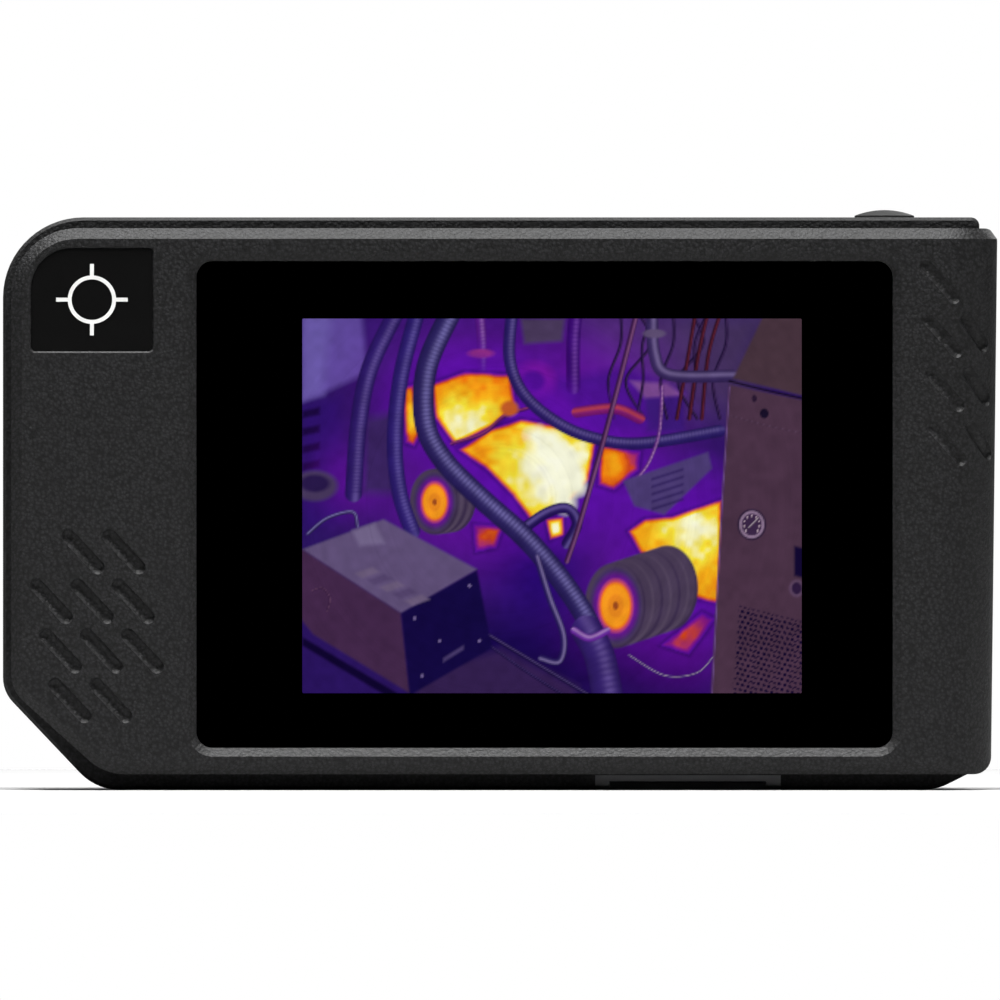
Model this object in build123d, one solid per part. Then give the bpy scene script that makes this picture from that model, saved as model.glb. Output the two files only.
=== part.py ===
"""Handheld thermal imaging camera, 140 mm wide, as an assembly of separate pieces.

Frame: X runs along the long side, Y from the operator's side (-Y, the display) to the
subject's side (+Y, the lens), Z up. The origin is under the middle of the casing, on the
flat bottom that it stands on. All sizes are in millimetres.
"""
import math
import os

from build123d import *

# ---------------------------------------------------------------- driving dimensions
# depth stations, from the display side to the lens side
FACE_Y = -14.0            # flat front face
PARTING_Y = -6.0          # where the two shells meet
BACK_Y = 10.0             # flat back face of the rear shell
BEZEL_PROUD = 4.0         # how far the lens bezel stands off the back face

# rear shell outline
REAR_LEFT = -70.0
REAR_RIGHT = 67.5
REAR_TOP = 80.6
CORNER_CUT_X = 13.1       # the sloping lower left corner
CORNER_CUT_Z = 13.8
REAR_TOP_LEFT_R = 11.3
REAR_TOP_RIGHT_R = 1.2
REAR_HEEL_X = 6.0         # the sloping lower right corner
REAR_HEEL_Z = 2.6
SIDE_TAPER = 0.9          # both right ends lean in towards the bottom
CUT_LOW_R = 7.5
CUT_HIGH_R = 5.0
HEEL_R = 8.0
HEEL_END_R = 1.5

# front shell outline
FRONT_STEP_LEFT = 1.3     # the front shell is set in from the rear one here
FRONT_STEP_TOP = 1.6
FRONT_OVERHANG = 2.5      # and stands out past it here
FRONT_BOTTOM = 2.25
FRONT_TOP_LEFT_R = 9.3
FRONT_CUT_X = 13.1
FRONT_CUT_Z = 11.8
FRONT_TOP_RIGHT_R = 1.8
FRONT_BOTTOM_RIGHT_R = 2.5
FRONT_BEVEL = 1.5
BEVEL_DEPTH = 1.1
FRONT_END_BLOCK = 6.0     # solid end of the front shell behind the roll
ROLL_R = 7.5              # the right end of the face rolls back

WALL = 2.0                # shell walls
BACK_EDGE_R = 3.0
MOUTH_BEVEL = 0.45        # on the rear shell's front edge
FLANGE = 4.5              # inward flange round the mouth of the rear shell
FLANGE_T = 1.2
SEAL_T = 0.4
SEAL_INSET = 0.5
SEAL_WIDTH = 1.4
FRAME_T = 0.8             # mid frame, clamped between the two shells' bosses
FRAME_GAP = 0.6

# window, glass and display
GLASS_FROM_LEFT = 26.1    # border of the face round the glass
GLASS_FROM_RIGHT = 14.9
GLASS_FROM_BOTTOM = 3.8
GLASS_FROM_TOP = 4.7
GLASS_R = 2.2
GLASS_T = 1.1
GLASS_SINK = 0.8          # glass lies this far below the face
GLASS_GAP = 0.1
LIP = 1.3                 # width of the sloped lip round the glass
LEDGE = 1.5               # shelf that the glass is stuck to
LEDGE_T = 1.0
PRINT_LEFT = 14.8         # black print between the glass edge and the picture
PRINT_RIGHT = 12.7
PRINT_BOTTOM = 7.6
PRINT_TOP = 8.0
PICTURE_R = 0.2
INK_T = 0.1
BOND_T = 0.3
PANEL_T = 1.6
PANEL_RIM = 2.4
PANEL_TAIL_RIM = 5.0
BACKLIGHT_T = 1.2
TRAY_WALL = 0.5
TRAY_GAP = 0.1
FOAM_WIDTH = 3.0

# badge in the top left corner
BADGE_FROM_EDGE = 2.9     # from the front shell's left and top edges
BADGE_WIDTH = 16.9
BADGE_HEIGHT = 14.3
BADGE_BIG_R = 5.6
BADGE_SMALL_R = 0.5
BADGE_SINK = 0.6
BADGE_T = 0.4
BADGE_GAP = 0.08
BADGE_LIP = 0.25          # sloped edge of the badge's recess
MARK_T = 0.06
MARK_R = 3.4
MARK_LINE = 0.55
MARK_TICK = 1.9

# grip grooves in the face
GROOVE_R = 1.15
GROOVE_DEPTH = 0.6
GROOVE_HALF = (2.05, 2.2)
LEFT_GRIP_X = -58.6       # centre of the first groove
LEFT_GRIP_Z = 33.55
GRIP_COLUMN = 5.75
GRIP_ROW = 6.97
GRIP_SHIFT = 1.3
LEFT_GRIP_ROWS = ((0, 2), (-1, 3), (-1, 3), (-1, 2))   # first column and count
RIGHT_GRIP_FROM_EDGE = 8.1
RIGHT_GRIP_FROM_TOP = 7.5
RIGHT_GRIP_ROW = 7.6
RIGHT_GRIP_SHIFT = 0.35
RIGHT_GRIP_COUNT = 4
RIGHT_GRIP_DEPTH = 0.4
ROLL_GRIP_X = 4.75        # second column, on the roll, from the groove beside it
ROLL_GRIP_Z = 0.5
ROLL_GROOVE_HALF = (1.2, 1.8)
ROLL_SPANS = 4

# shutter button
BUTTON_FROM_RIGHT = 13.3
BUTTON_Y = 2.0
BUTTON_R = 4.2
BUTTON_TRAVEL = 0.6
BUTTON_PROUD = 1.1        # above the rear shell's top
BUTTON_WELL = 3.6         # depth of the well that the cap and spring sit in
BUTTON_GAP = 0.15
BUTTON_WALL = 0.8
BUTTON_DOME = 0.8
BUTTON_CROWN = 1.2
COLLAR_EDGE = 0.8
COLLAR_T = 0.7
STEM_R = 1.2
STEM_TIP = 0.3
SLIDE_GAP = 0.06
SKIRT_GAP = 0.3           # under the cap's skirt at the end of its travel
CLIP_R = 2.0
CLIP_T = 0.4
SPRING_R = 2.3
SPRING_WIRE = 0.5
SPRING_INDENT = 0.1
SPRING_TURNS = 3
PLUNGER_R = 0.8
PLUNGER_GAP = 0.05
PLUNGER_OUT = 1.0
PLUNGER_IN = 1.1
SWITCH_SIZE = 4.2
SWITCH_T = 2.0
SWITCH_BOARD_T = 0.8
SWITCH_BOARD_HALF = 4.2

# screws
SCREW_R = 1.0
SCREW_HEAD_R = 1.9
SCREW_HEAD_T = 1.3
DRIVE_DEPTH = 0.55        # share of the head's height that the drive recess takes
DRIVE_WIDTH = 0.42        # share of the head's radius
BOSS_R = 2.9
SCREW_FROM_LEFT = 7.0
SCREW_FROM_RIGHT = 7.1
SCREW_FROM_TOP = (19.6, 12.6)
SCREW_LOW_Z = (20.0, 10.0)
SCREW_LOW_SHIFT = 0.8
SCREW_BITE = 5.0
SCREW_SEAT_Y = 1.0
SCREW_GAP = 0.03
PLUG_T = 1.5
PLUG_GAP = 0.1
FRAME_HOLE_GAP = 0.2
FRAME_SLOT = 3.0
POST_SCREW_BITE = 4.0
POST_R = 2.4
POST_SCREW_R = 0.8
POST_SCREW_HEAD_R = 1.5
POST_SCREW_HEAD_T = 0.7
POST_FROM_SIDE = (4.0, 6.0)
POST_FROM_TOP = 4.0
POST_LOW_Z = 15.0
POST_LOW_X = -17.0

# lens group, on the upper middle of the back
LENS_X = -8.0
LENS_Z = 52.0
LENS_R = 6.5
LENS_T = 3.4
LENS_DOME = 1.0
LENS_GAP = 0.05
REAR_LENS_T = 2.2
BARREL_WALL = 2.1
BARREL_START_Y = 0.3
BARREL_SINK = 1.0         # the barrel's mouth lies this far inside the bezel's face
RING_T = 1.0
RING_LIP = 1.0
BEZEL_FRAME = 4.4         # from the barrel to the bezel's edge
BEZEL_EDGE_R = 1.6
BEZEL_FLARE = 2.2
CAMERA_FROM_LENS = 21.0
CAMERA_R = 2.6
CAMERA_BODY = 8.0
CAMERA_T = 5.0
CAMERA_TIP_Y = 11.6
WINDOW_R = 3.4
WINDOW_T = 0.8
WINDOW_SINK = 0.3
LENS_STEP_Y = 2.5
LENS_STEP = 1.5
MOUNT_T = 1.8
MOUNT_EDGE = 2.9
MOUNT_PAST_CAMERA = 4.0
MOUNT_LEG = 2.4
MOUNT_SCREW_EDGE = 1.4    # from the barrel to the left pair of screws
MOUNT_SCREW_RISE = 4.5
MOUNT_SCREW_FAR = (2.0, 9.3)    # from the small camera to the right pair
MOUNT_POST_R = 1.9

# calibration shutter, between the lens and the sensor
ACTUATOR_CLEAR = 0.9      # between the barrel and the actuator beside it
PARK = 45.0               # degrees that the blade is parked away from the lens
BLADE_R = 4.5
BLADE_T = 0.25
BLADE_Y = -0.3
BLADE_ARM = 2.0
ROTOR_R = 0.7
ROTOR_HUB_R = 1.4
ROTOR_GAP = 0.06
ACTUATOR_R = 3.0
ACTUATOR_T = 4.2

# port flap and its frame, in the bottom edge
PORT_LEFT = 13.4
PORT_RIGHT = 39.5
PORT_TOP = 2.05
PORT_FRAME_T = 0.85
PORT_LEG = 2.0
PORT_LEG_BOTTOM = 0.6
PORT_DEPTH = 9.0
PIN_BLOCK = 3.0           # length of the part of each leg that holds the hinge pin
PIN_BLOCK_Z = 0.1
PIN_FROM_BACK = 1.0
PIN_R = 0.25
PIN_END = 0.5
FLAP_T = 0.9
FLAP_Z = 0.08
FLAP_GAP = 0.1
USB_SIZE = (7.6, 2.8, 7.0)
USB_WALL = 0.3
USB_GAP = 0.15
PORT_ROOF = 1.4

# tripod socket, 1/4-20 UNC
TRIPOD_R = 3.175
TRIPOD_OUTER_R = 4.6
TRIPOD_DEPTH = 6.5
TRIPOD_X = 0.0
TRIPOD_Y = 1.0

# electronics
BOARD_T = 1.2
BOARD_Y = -5.0            # front face of the main board
BOARD_FROM_LEFT = 13.0
BOARD_FROM_RIGHT = 11.5
BOARD_BOTTOM = 10.5
BOARD_FROM_TOP = 8.6
BOARD_TAB = (18.0, 35.0)  # tongue under the board that carries the port
BOARD_TAB_BOTTOM = 5.0
BATTERY_SIZE = (36.0, 6.0, 44.0)
BATTERY_CENTRE = (-40.0, 35.0)
BATTERY_PAD_T = 1.0
CELL_EDGE_R = 1.5
CELL_CAP = 3.0            # protection board along the cell's top edge
CHIP_T = 1.1
SHIELD_T = 2.0
SHIELD_WALL = 0.2
PROCESSOR = (24.0, 34.0)
PROCESSOR_SIZE = 12.0
SHIELD_SIZE = (26.0, 22.0)
MEMORY = ((44.0, 40.0), (44.0, 27.0))
MEMORY_SIZE = 9.0
RADIO = (36.0, 60.0)
RADIO_SIZE = (14.0, 11.0)
ANTENNA = (8.0, 40.0)
ANTENNA_WIDTH = 5.0
ANTENNA_T = 0.2
GRIP_LEFT = 31.0          # soft finger grip on the back
GRIP_RIGHT = 57.0
GRIP_BOTTOM = 12.0
GRIP_TOP = 66.0
GRIP_R = 7.0
GRIP_T = 3.0
GRIP_EDGE_R = 2.2
GRIP_SLOT = 7.6
GRIP_SLOTS = 6
SENSOR_BOARD = 21.0
SENSOR_BOARD_T = 0.8
SENSOR_BOARD_Y = -2.9
SENSOR_SIZE = 10.0
SENSOR_T = 1.5
SENSOR_WINDOW = 7.0
SENSOR_WINDOW_T = 0.2
FLEX_X = 10.5
FLEX_WIDTH = 16.0
FLEX_T = 0.2
FLEX_LOW_Z = 6.6
FLEX_PLUG_Z = 11.2
CONNECTOR_T = 0.9
RIBBON_SEAT = 2.2
MARGIN = 1.0              # how far a cutter runs past what it cuts
LEAST_R = 0.2             # smallest corner of an inset outline
EPS = 0.01                # overlap that joins two shapes of one piece

# places worked out from the sizes above
FRONT_LEFT = REAR_LEFT + FRONT_STEP_LEFT
FRONT_RIGHT = REAR_RIGHT + FRONT_OVERHANG
FRONT_TOP = REAR_TOP - FRONT_STEP_TOP
FRONT_CAVITY_RIGHT = FRONT_RIGHT - FRONT_END_BLOCK
GLASS_LEFT = FRONT_LEFT + GLASS_FROM_LEFT
GLASS_RIGHT = FRONT_RIGHT - GLASS_FROM_RIGHT
GLASS_BOTTOM = FRONT_BOTTOM + GLASS_FROM_BOTTOM
GLASS_TOP = FRONT_TOP - GLASS_FROM_TOP
PICTURE_LEFT = GLASS_LEFT + PRINT_LEFT
PICTURE_RIGHT = GLASS_RIGHT - PRINT_RIGHT
PICTURE_BOTTOM = GLASS_BOTTOM + PRINT_BOTTOM
PICTURE_TOP = GLASS_TOP - PRINT_TOP
BADGE_LEFT = FRONT_LEFT + BADGE_FROM_EDGE
BADGE_RIGHT = BADGE_LEFT + BADGE_WIDTH
BADGE_TOP = FRONT_TOP - BADGE_FROM_EDGE
BADGE_BOTTOM = BADGE_TOP - BADGE_HEIGHT
SCREW_PLACES = (
    (REAR_LEFT + SCREW_FROM_LEFT, REAR_TOP - SCREW_FROM_TOP[0]),
    (REAR_LEFT + SCREW_FROM_LEFT, SCREW_LOW_Z[0]),
    (REAR_RIGHT - SCREW_FROM_RIGHT, REAR_TOP - SCREW_FROM_TOP[1]),
    (REAR_RIGHT - SCREW_FROM_RIGHT - SCREW_LOW_SHIFT, SCREW_LOW_Z[1]),
)
BOARD_LEFT = REAR_LEFT + BOARD_FROM_LEFT
BOARD_RIGHT = REAR_RIGHT - BOARD_FROM_RIGHT
BOARD_TOP = REAR_TOP - BOARD_FROM_TOP
POST_PLACES = (
    (BOARD_LEFT + POST_FROM_SIDE[0], BOARD_TOP - POST_FROM_TOP),
    (BOARD_RIGHT - POST_FROM_SIDE[1], BOARD_TOP - POST_FROM_TOP),
    (BOARD_RIGHT - POST_FROM_SIDE[1], POST_LOW_Z),
    (POST_LOW_X, POST_LOW_Z),
)
BUTTON_X = REAR_RIGHT - BUTTON_FROM_RIGHT
COLLAR_R = BUTTON_R + COLLAR_EDGE
BARREL_R = LENS_R + BARREL_WALL
RING_BORE = LENS_R - RING_LIP
LENS_STEP_R = LENS_R - LENS_STEP
BEZEL_R = BARREL_R + BEZEL_FRAME
CAMERA_X = LENS_X + CAMERA_FROM_LENS
MOUNT_HALF = BARREL_R + MOUNT_EDGE
MOUNT_RIGHT = CAMERA_X + MOUNT_PAST_CAMERA
MOUNT_SCREWS = (
    (LENS_X - BARREL_R - MOUNT_SCREW_EDGE, LENS_Z - MOUNT_SCREW_RISE),
    (LENS_X - BARREL_R - MOUNT_SCREW_EDGE, LENS_Z + MOUNT_SCREW_RISE),
    (CAMERA_X + MOUNT_SCREW_FAR[0], LENS_Z - MOUNT_SCREW_FAR[1]),
    (CAMERA_X + MOUNT_SCREW_FAR[0], LENS_Z + MOUNT_SCREW_FAR[1]),
)
GLASS_Y = FACE_Y + GLASS_SINK
GLASS_BACK = GLASS_Y + GLASS_T
PANEL_Y = GLASS_BACK + INK_T + BOND_T
BEZEL_Y = BACK_Y + BEZEL_PROUD
BARREL_MOUTH_Y = BEZEL_Y - BARREL_SINK
BARREL_BORE = LENS_R + LENS_GAP
BOARD_BACK_Y = BOARD_Y + BOARD_T
BUTTON_FLOOR_Z = REAR_TOP - BUTTON_WELL
PORT_MID = (PORT_LEFT + PORT_RIGHT) / 2
PORT_BACK_Y = PARTING_Y + SEAL_T + PORT_DEPTH
USB_Y = BOARD_BACK_Y + USB_SIZE[1] / 2
ARM = BARREL_R + ACTUATOR_R + ACTUATOR_CLEAR    # from the rotor to the blade's disc
PIVOT_X = LENS_X + ARM
PIN_Y = PORT_BACK_Y - PIN_FROM_BACK
PIN_Z = FLAP_Z + FLAP_T / 2
MOUNT_BACK_Y = BARREL_START_Y + MOUNT_T
STEM_END_Z = BUTTON_FLOOR_Z - WALL - CLIP_T - STEM_TIP
SWITCH_TOP_Z = STEM_END_Z - PLUNGER_GAP - PLUNGER_OUT
SWITCH_BOARD_Z = SWITCH_TOP_Z - SWITCH_T


# ---------------------------------------------------------------- shared shapes
def outline_face(corners, y):
    """Flat face at depth y. Each corner is (x, z, radius), listed anticlockwise."""
    edges = []
    ends = []
    for i, (x, z, r) in enumerate(corners):
        here = Vector(x, y, z)
        before = Vector(corners[i - 1][0], y, corners[i - 1][1])
        nxt = corners[(i + 1) % len(corners)]
        after = Vector(nxt[0], y, nxt[1])
        back = (before - here).normalized()
        ahead = (after - here).normalized()
        half = math.acos(max(-1.0, min(1.0, back.dot(ahead)))) / 2
        run = r / math.tan(half)
        middle = (back + ahead).normalized()
        apex = here + middle * (r / math.sin(half) - r)
        ends.append((here + back * run, apex, here + ahead * run))
    for i, (start, apex, stop) in enumerate(ends):
        edges.append(ThreePointArc(start, apex, stop))
        edges.append(Line(stop, ends[(i + 1) % len(ends)][0]))
    return Face(Wire(edges))


def inset(corners, step):
    """The same outline moved inwards by step, with its radii made smaller to match."""
    count = len(corners)
    sides = []
    for i in range(count):
        x0, z0, _ = corners[i]
        x1, z1, _ = corners[(i + 1) % count]
        length = math.hypot(x1 - x0, z1 - z0)
        nx, nz = -(z1 - z0) / length, (x1 - x0) / length
        sides.append((x0 + nx * step, z0 + nz * step, (x1 - x0) / length, (z1 - z0) / length))
    moved = []
    for i in range(count):
        ax, az, au, aw = sides[i - 1]
        bx, bz, bu, bw = sides[i]
        cross = au * bw - aw * bu
        along = ((bx - ax) * bw - (bz - az) * bu) / cross
        radius = max(corners[i][2] - step, LEAST_R)
        moved.append((ax + au * along, az + aw * along, radius))
    return moved


def slab(corners, y0, y1):
    """Outline extruded from depth y0 to y1."""
    return extrude(outline_face(corners, y0), amount=y1 - y0, dir=(0, 1, 0))


def taper(corners, y0, corners_1, y1):
    """Straight-sided blend between two matching outlines."""
    return loft([outline_face(corners, y0), outline_face(corners_1, y1)], ruled=True)


def rectangle(left, right, bottom, top, r):
    return [(left, bottom, r), (right, bottom, r), (right, top, r), (left, top, r)]


def block(x0, x1, y0, y1, z0, z1):
    return Pos((x0 + x1) / 2, (y0 + y1) / 2, (z0 + z1) / 2) * Box(x1 - x0, y1 - y0, z1 - z0)


def rod_y(x, z, r, y0, y1):
    return Pos(x, (y0 + y1) / 2, z) * Rot(90, 0, 0) * Cylinder(r, y1 - y0)


def rod_z(x, y, r, z0, z1):
    return Pos(x, y, (z0 + z1) / 2) * Cylinder(r, z1 - z0)


def rod_x(y, z, r, x0, x1):
    return Pos((x0 + x1) / 2, y, z) * Rot(0, 90, 0) * Cylinder(r, x1 - x0)


def save(name, *solids):
    """Write one node, made of one or more separate solids."""
    pieces = []
    for shape in solids:
        pieces.extend(shape.solids())
    node = pieces[0] if len(pieces) == 1 else Compound(children=pieces)
    export_step(node, "parts/" + name + ".step")


# ---------------------------------------------------------------- outlines of the casing
def rear_corners():
    return [
        (REAR_LEFT + CORNER_CUT_X, 0.0, CUT_LOW_R),
        (REAR_RIGHT - REAR_HEEL_X, 0.0, HEEL_R),
        (REAR_RIGHT - SIDE_TAPER, REAR_HEEL_Z, HEEL_END_R),
        (REAR_RIGHT, REAR_TOP, REAR_TOP_RIGHT_R),
        (REAR_LEFT, REAR_TOP, REAR_TOP_LEFT_R),
        (REAR_LEFT, CORNER_CUT_Z, CUT_HIGH_R),
    ]


def front_corners(right=FRONT_RIGHT):
    return [
        (FRONT_LEFT + FRONT_CUT_X, FRONT_BOTTOM, CUT_LOW_R),
        (right - SIDE_TAPER, FRONT_BOTTOM, FRONT_BOTTOM_RIGHT_R),
        (right, FRONT_TOP, FRONT_TOP_RIGHT_R),
        (FRONT_LEFT, FRONT_TOP, FRONT_TOP_LEFT_R),
        (FRONT_LEFT, FRONT_BOTTOM + FRONT_CUT_Z, CUT_HIGH_R),
    ]


def glass_corners(grow=0.0):
    return rectangle(GLASS_LEFT - grow, GLASS_RIGHT + grow, GLASS_BOTTOM - grow,
                     GLASS_TOP + grow, GLASS_R + grow)


def picture_corners(grow=0.0):
    return rectangle(PICTURE_LEFT - grow, PICTURE_RIGHT + grow, PICTURE_BOTTOM - grow,
                     PICTURE_TOP + grow, PICTURE_R)


def panel_corners(grow=0.0):
    return rectangle(PICTURE_LEFT - PANEL_RIM - grow, PICTURE_RIGHT + PANEL_RIM + grow,
                     PICTURE_BOTTOM - PANEL_TAIL_RIM - grow, PICTURE_TOP + PANEL_RIM + grow,
                     PICTURE_R)


def badge_corners(grow=0.0):
    small = BADGE_SMALL_R + grow
    return [
        (BADGE_LEFT - grow, BADGE_BOTTOM - grow, small),
        (BADGE_RIGHT + grow, BADGE_BOTTOM - grow, small),
        (BADGE_RIGHT + grow, BADGE_TOP + grow, small),
        (BADGE_LEFT - grow, BADGE_TOP + grow, BADGE_BIG_R + grow),
    ]


def rounded_end(corners, y0, y1, r, steps=3):
    """Edge that rounds off from the full outline at y0 to one inset by r at y1."""
    parts = []
    for k in range(steps):
        a0 = math.pi / 2 * k / steps
        a1 = math.pi / 2 * (k + 1) / steps
        parts.append(taper(
            inset(corners, r * (1 - math.cos(a0))), y0 + (y1 - y0) * math.sin(a0),
            inset(corners, r * (1 - math.cos(a1))), y0 + (y1 - y0) * math.sin(a1)))
    return parts


# ---------------------------------------------------------------- casing
def roll_section(z, step):
    """Plan of the face and its rolled right end at height z, set in by step."""
    left = FRONT_LEFT - MARGIN
    deep = PARTING_Y + MARGIN
    climb = (z - FRONT_BOTTOM) / (FRONT_TOP - FRONT_BOTTOM)
    right = FRONT_RIGHT - SIDE_TAPER * (1 - climb) - step
    front = FACE_Y + step
    r = ROLL_R - step
    turn = r * (1 - math.sqrt(0.5))
    return Face(Wire([
        Line((left, front, z), (right - r, front, z)),
        ThreePointArc((right - r, front, z), (right - turn, front + turn, z), (right, front + r, z)),
        Line((right, front + r, z), (right, deep, z)),
        Line((right, deep, z), (left, deep, z)),
        Line((left, deep, z), (left, front, z)),
    ]))


def roll_keep():
    """Everything inside the rolled right end of the face, with the top bevel carried round."""
    low = roll_section(FRONT_BOTTOM - MARGIN, 0.0)
    edge = roll_section(FRONT_TOP - FRONT_BEVEL, 0.0)
    steep = BEVEL_DEPTH * (FRONT_BEVEL + MARGIN) / FRONT_BEVEL
    high = roll_section(FRONT_TOP + MARGIN, steep)
    return loft([low, edge], ruled=True) + loft([edge, high], ruled=True)


def face_depth(x):
    """Depth of the outer surface of the face at x, on the flat or on the roll."""
    start = FRONT_RIGHT - SIDE_TAPER / 2 - ROLL_R
    if x <= start:
        return FACE_Y
    over = min(x - start, ROLL_R)
    return FACE_Y + ROLL_R - math.sqrt(ROLL_R ** 2 - over ** 2)


def groove(x, z, half, depth, spans):
    """Cutter for one soft slanted groove, a run of round-ended rods that follow the face."""
    half_x, half_z = half
    points = []
    for k in range(spans + 1):
        share = 1 - 2 * k / spans
        px = x - half_x * share
        py = face_depth(px) - GROOVE_R + depth
        points.append(Vector(px, py, z + half_z * share))
    parts = []
    for point in points:
        parts.append(Pos(point.X, point.Y, point.Z) * Sphere(GROOVE_R))
    for start, stop in zip(points, points[1:]):
        run = stop - start
        plane = Plane(origin=start, z_dir=run.normalized())
        parts.append(extrude(plane * Circle(GROOVE_R), amount=run.length))
    return parts[0].fuse(*parts[1:])


def face_grooves():
    cutters = []
    for row, (first, count) in enumerate(LEFT_GRIP_ROWS):
        for column in range(first, first + count):
            x = LEFT_GRIP_X + column * GRIP_COLUMN + row * GRIP_SHIFT
            cutters.append(groove(x, LEFT_GRIP_Z - row * GRIP_ROW, GROOVE_HALF, GROOVE_DEPTH, 1))
    for row in range(RIGHT_GRIP_COUNT):
        x = FRONT_RIGHT - RIGHT_GRIP_FROM_EDGE + row * RIGHT_GRIP_SHIFT
        z = FRONT_TOP - RIGHT_GRIP_FROM_TOP - row * RIGHT_GRIP_ROW
        cutters.append(groove(x, z, GROOVE_HALF, RIGHT_GRIP_DEPTH, ROLL_SPANS))
        if row:
            cutters.append(groove(x + ROLL_GRIP_X, z + ROLL_GRIP_Z, ROLL_GROOVE_HALF,
                                  RIGHT_GRIP_DEPTH, ROLL_SPANS))
    return cutters


def front_cover():
    outline = front_corners()
    bevel_y = FACE_Y + BEVEL_DEPTH
    shell = slab(outline, bevel_y, PARTING_Y)
    shell += taper(outline, bevel_y, inset(outline, FRONT_BEVEL), FACE_Y)
    shell = shell & roll_keep()
    cavity = slab(inset(front_corners(FRONT_CAVITY_RIGHT + WALL), WALL),
                  FACE_Y + WALL, PARTING_Y + MARGIN)
    shell -= cavity
    ledge = slab(glass_corners(LEDGE * 2), FACE_Y + WALL - EPS, FACE_Y + WALL + LEDGE_T)
    shell += ledge
    for x, z in SCREW_PLACES:
        shell += rod_y(x, z, BOSS_R, FACE_Y + WALL - EPS, PARTING_Y - FRAME_T) & cavity
    shell -= taper(glass_corners(LIP), FACE_Y, glass_corners(GLASS_GAP), GLASS_Y)
    shell -= slab(glass_corners(GLASS_GAP), GLASS_Y, GLASS_BACK + INK_T)
    shell -= slab(inset(glass_corners(), LEDGE), GLASS_BACK, PARTING_Y)
    shell -= slab(badge_corners(BADGE_GAP), FACE_Y - MARGIN, FACE_Y + BADGE_SINK)
    shell -= taper(badge_corners(BADGE_GAP + BADGE_LIP), FACE_Y, badge_corners(BADGE_GAP),
                   FACE_Y + BADGE_LIP)
    for x, z in SCREW_PLACES:
        shell -= rod_y(x, z, SCREW_R + SCREW_GAP, PARTING_Y - SCREW_BITE, PARTING_Y + MARGIN)
    for cutter in face_grooves():
        shell -= cutter
    return shell


def button_tower():
    """Solid round pad under the shutter button, inside the rear shell's top wall."""
    return rod_z(BUTTON_X, BUTTON_Y, BUTTON_R + WALL, BUTTON_FLOOR_Z - WALL, REAR_TOP - WALL / 2)


def port_box(grow=0.0):
    return block(PORT_LEFT - grow, PORT_RIGHT + grow, PARTING_Y - grow,
                 PORT_BACK_Y + grow, -MARGIN, PORT_TOP + grow)


def rear_cover():
    outline = rear_corners()
    mouth = PARTING_Y + SEAL_T
    round_y = BACK_Y - BACK_EDGE_R
    shell = slab(outline, mouth + MOUTH_BEVEL, round_y)
    shell += taper(inset(outline, MOUTH_BEVEL), mouth, outline, mouth + MOUTH_BEVEL)
    for piece in rounded_end(outline, round_y, BACK_Y, BACK_EDGE_R):
        shell += piece
    cavity = slab(inset(outline, WALL), mouth + FLANGE_T, BACK_Y - WALL)
    shell -= cavity
    shell -= slab(inset(outline, FLANGE), mouth - MARGIN, mouth + FLANGE_T + EPS)
    for x, z in SCREW_PLACES:
        shell += rod_y(x, z, BOSS_R, PARTING_Y, BACK_Y - WALL + EPS)
    for x, z in POST_PLACES:
        shell += rod_y(x, z, POST_R, BOARD_BACK_Y, BACK_Y - WALL + EPS)
    for x, z in MOUNT_SCREWS:
        shell += rod_y(x, z, MOUNT_POST_R, MOUNT_BACK_Y, BACK_Y - WALL + EPS)
    shell += rod_z(TRIPOD_X, TRIPOD_Y, TRIPOD_OUTER_R + WALL, WALL / 2, TRIPOD_DEPTH + WALL)
    shell += button_tower()
    port_pad = block(PORT_LEFT - WALL, PORT_RIGHT + WALL, mouth, PORT_BACK_Y + WALL,
                     WALL / 2, PORT_TOP + PORT_ROOF)
    shell += port_pad
    for x, z in SCREW_PLACES:
        shell -= rod_y(x, z, SCREW_R + SCREW_GAP, PARTING_Y - MARGIN, BACK_Y)
        shell -= rod_y(x, z, SCREW_HEAD_R + PLUG_GAP, SCREW_SEAT_Y, BACK_Y + MARGIN)
    for x, z in POST_PLACES:
        shell -= rod_y(x, z, POST_SCREW_R + SCREW_GAP, BOARD_Y, BOARD_BACK_Y + POST_SCREW_BITE)
    for x, z in MOUNT_SCREWS:
        shell -= rod_y(x, z, POST_SCREW_R + SCREW_GAP, BARREL_START_Y, MOUNT_BACK_Y + POST_SCREW_BITE)
    shell -= rod_y(LENS_X, LENS_Z, BARREL_R + LENS_GAP * 2, BACK_Y - WALL - MARGIN, BACK_Y + MARGIN)
    shell -= rod_y(CAMERA_X, LENS_Z, CAMERA_R + LENS_GAP * 4, BACK_Y - WALL - MARGIN, BACK_Y + MARGIN)
    shell -= rod_z(TRIPOD_X, TRIPOD_Y, TRIPOD_OUTER_R, -MARGIN, TRIPOD_DEPTH)
    shell -= rod_z(BUTTON_X, BUTTON_Y, BUTTON_R + BUTTON_GAP, BUTTON_FLOOR_Z, REAR_TOP + MARGIN)
    shell -= rod_z(BUTTON_X, BUTTON_Y, COLLAR_R, REAR_TOP - COLLAR_T, REAR_TOP + MARGIN)
    shell -= rod_z(BUTTON_X, BUTTON_Y, STEM_R + SLIDE_GAP, BUTTON_FLOOR_Z - WALL - MARGIN, REAR_TOP)
    shell -= port_box()
    usb_x, usb_y, _ = USB_SIZE
    shell -= block(PORT_MID - usb_x / 2 - USB_GAP, PORT_MID + usb_x / 2 + USB_GAP,
                   USB_Y - usb_y / 2 - USB_GAP, USB_Y + usb_y / 2 + USB_GAP,
                   PORT_TOP - MARGIN, PORT_TOP + PORT_ROOF + MARGIN)
    return shell


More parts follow.
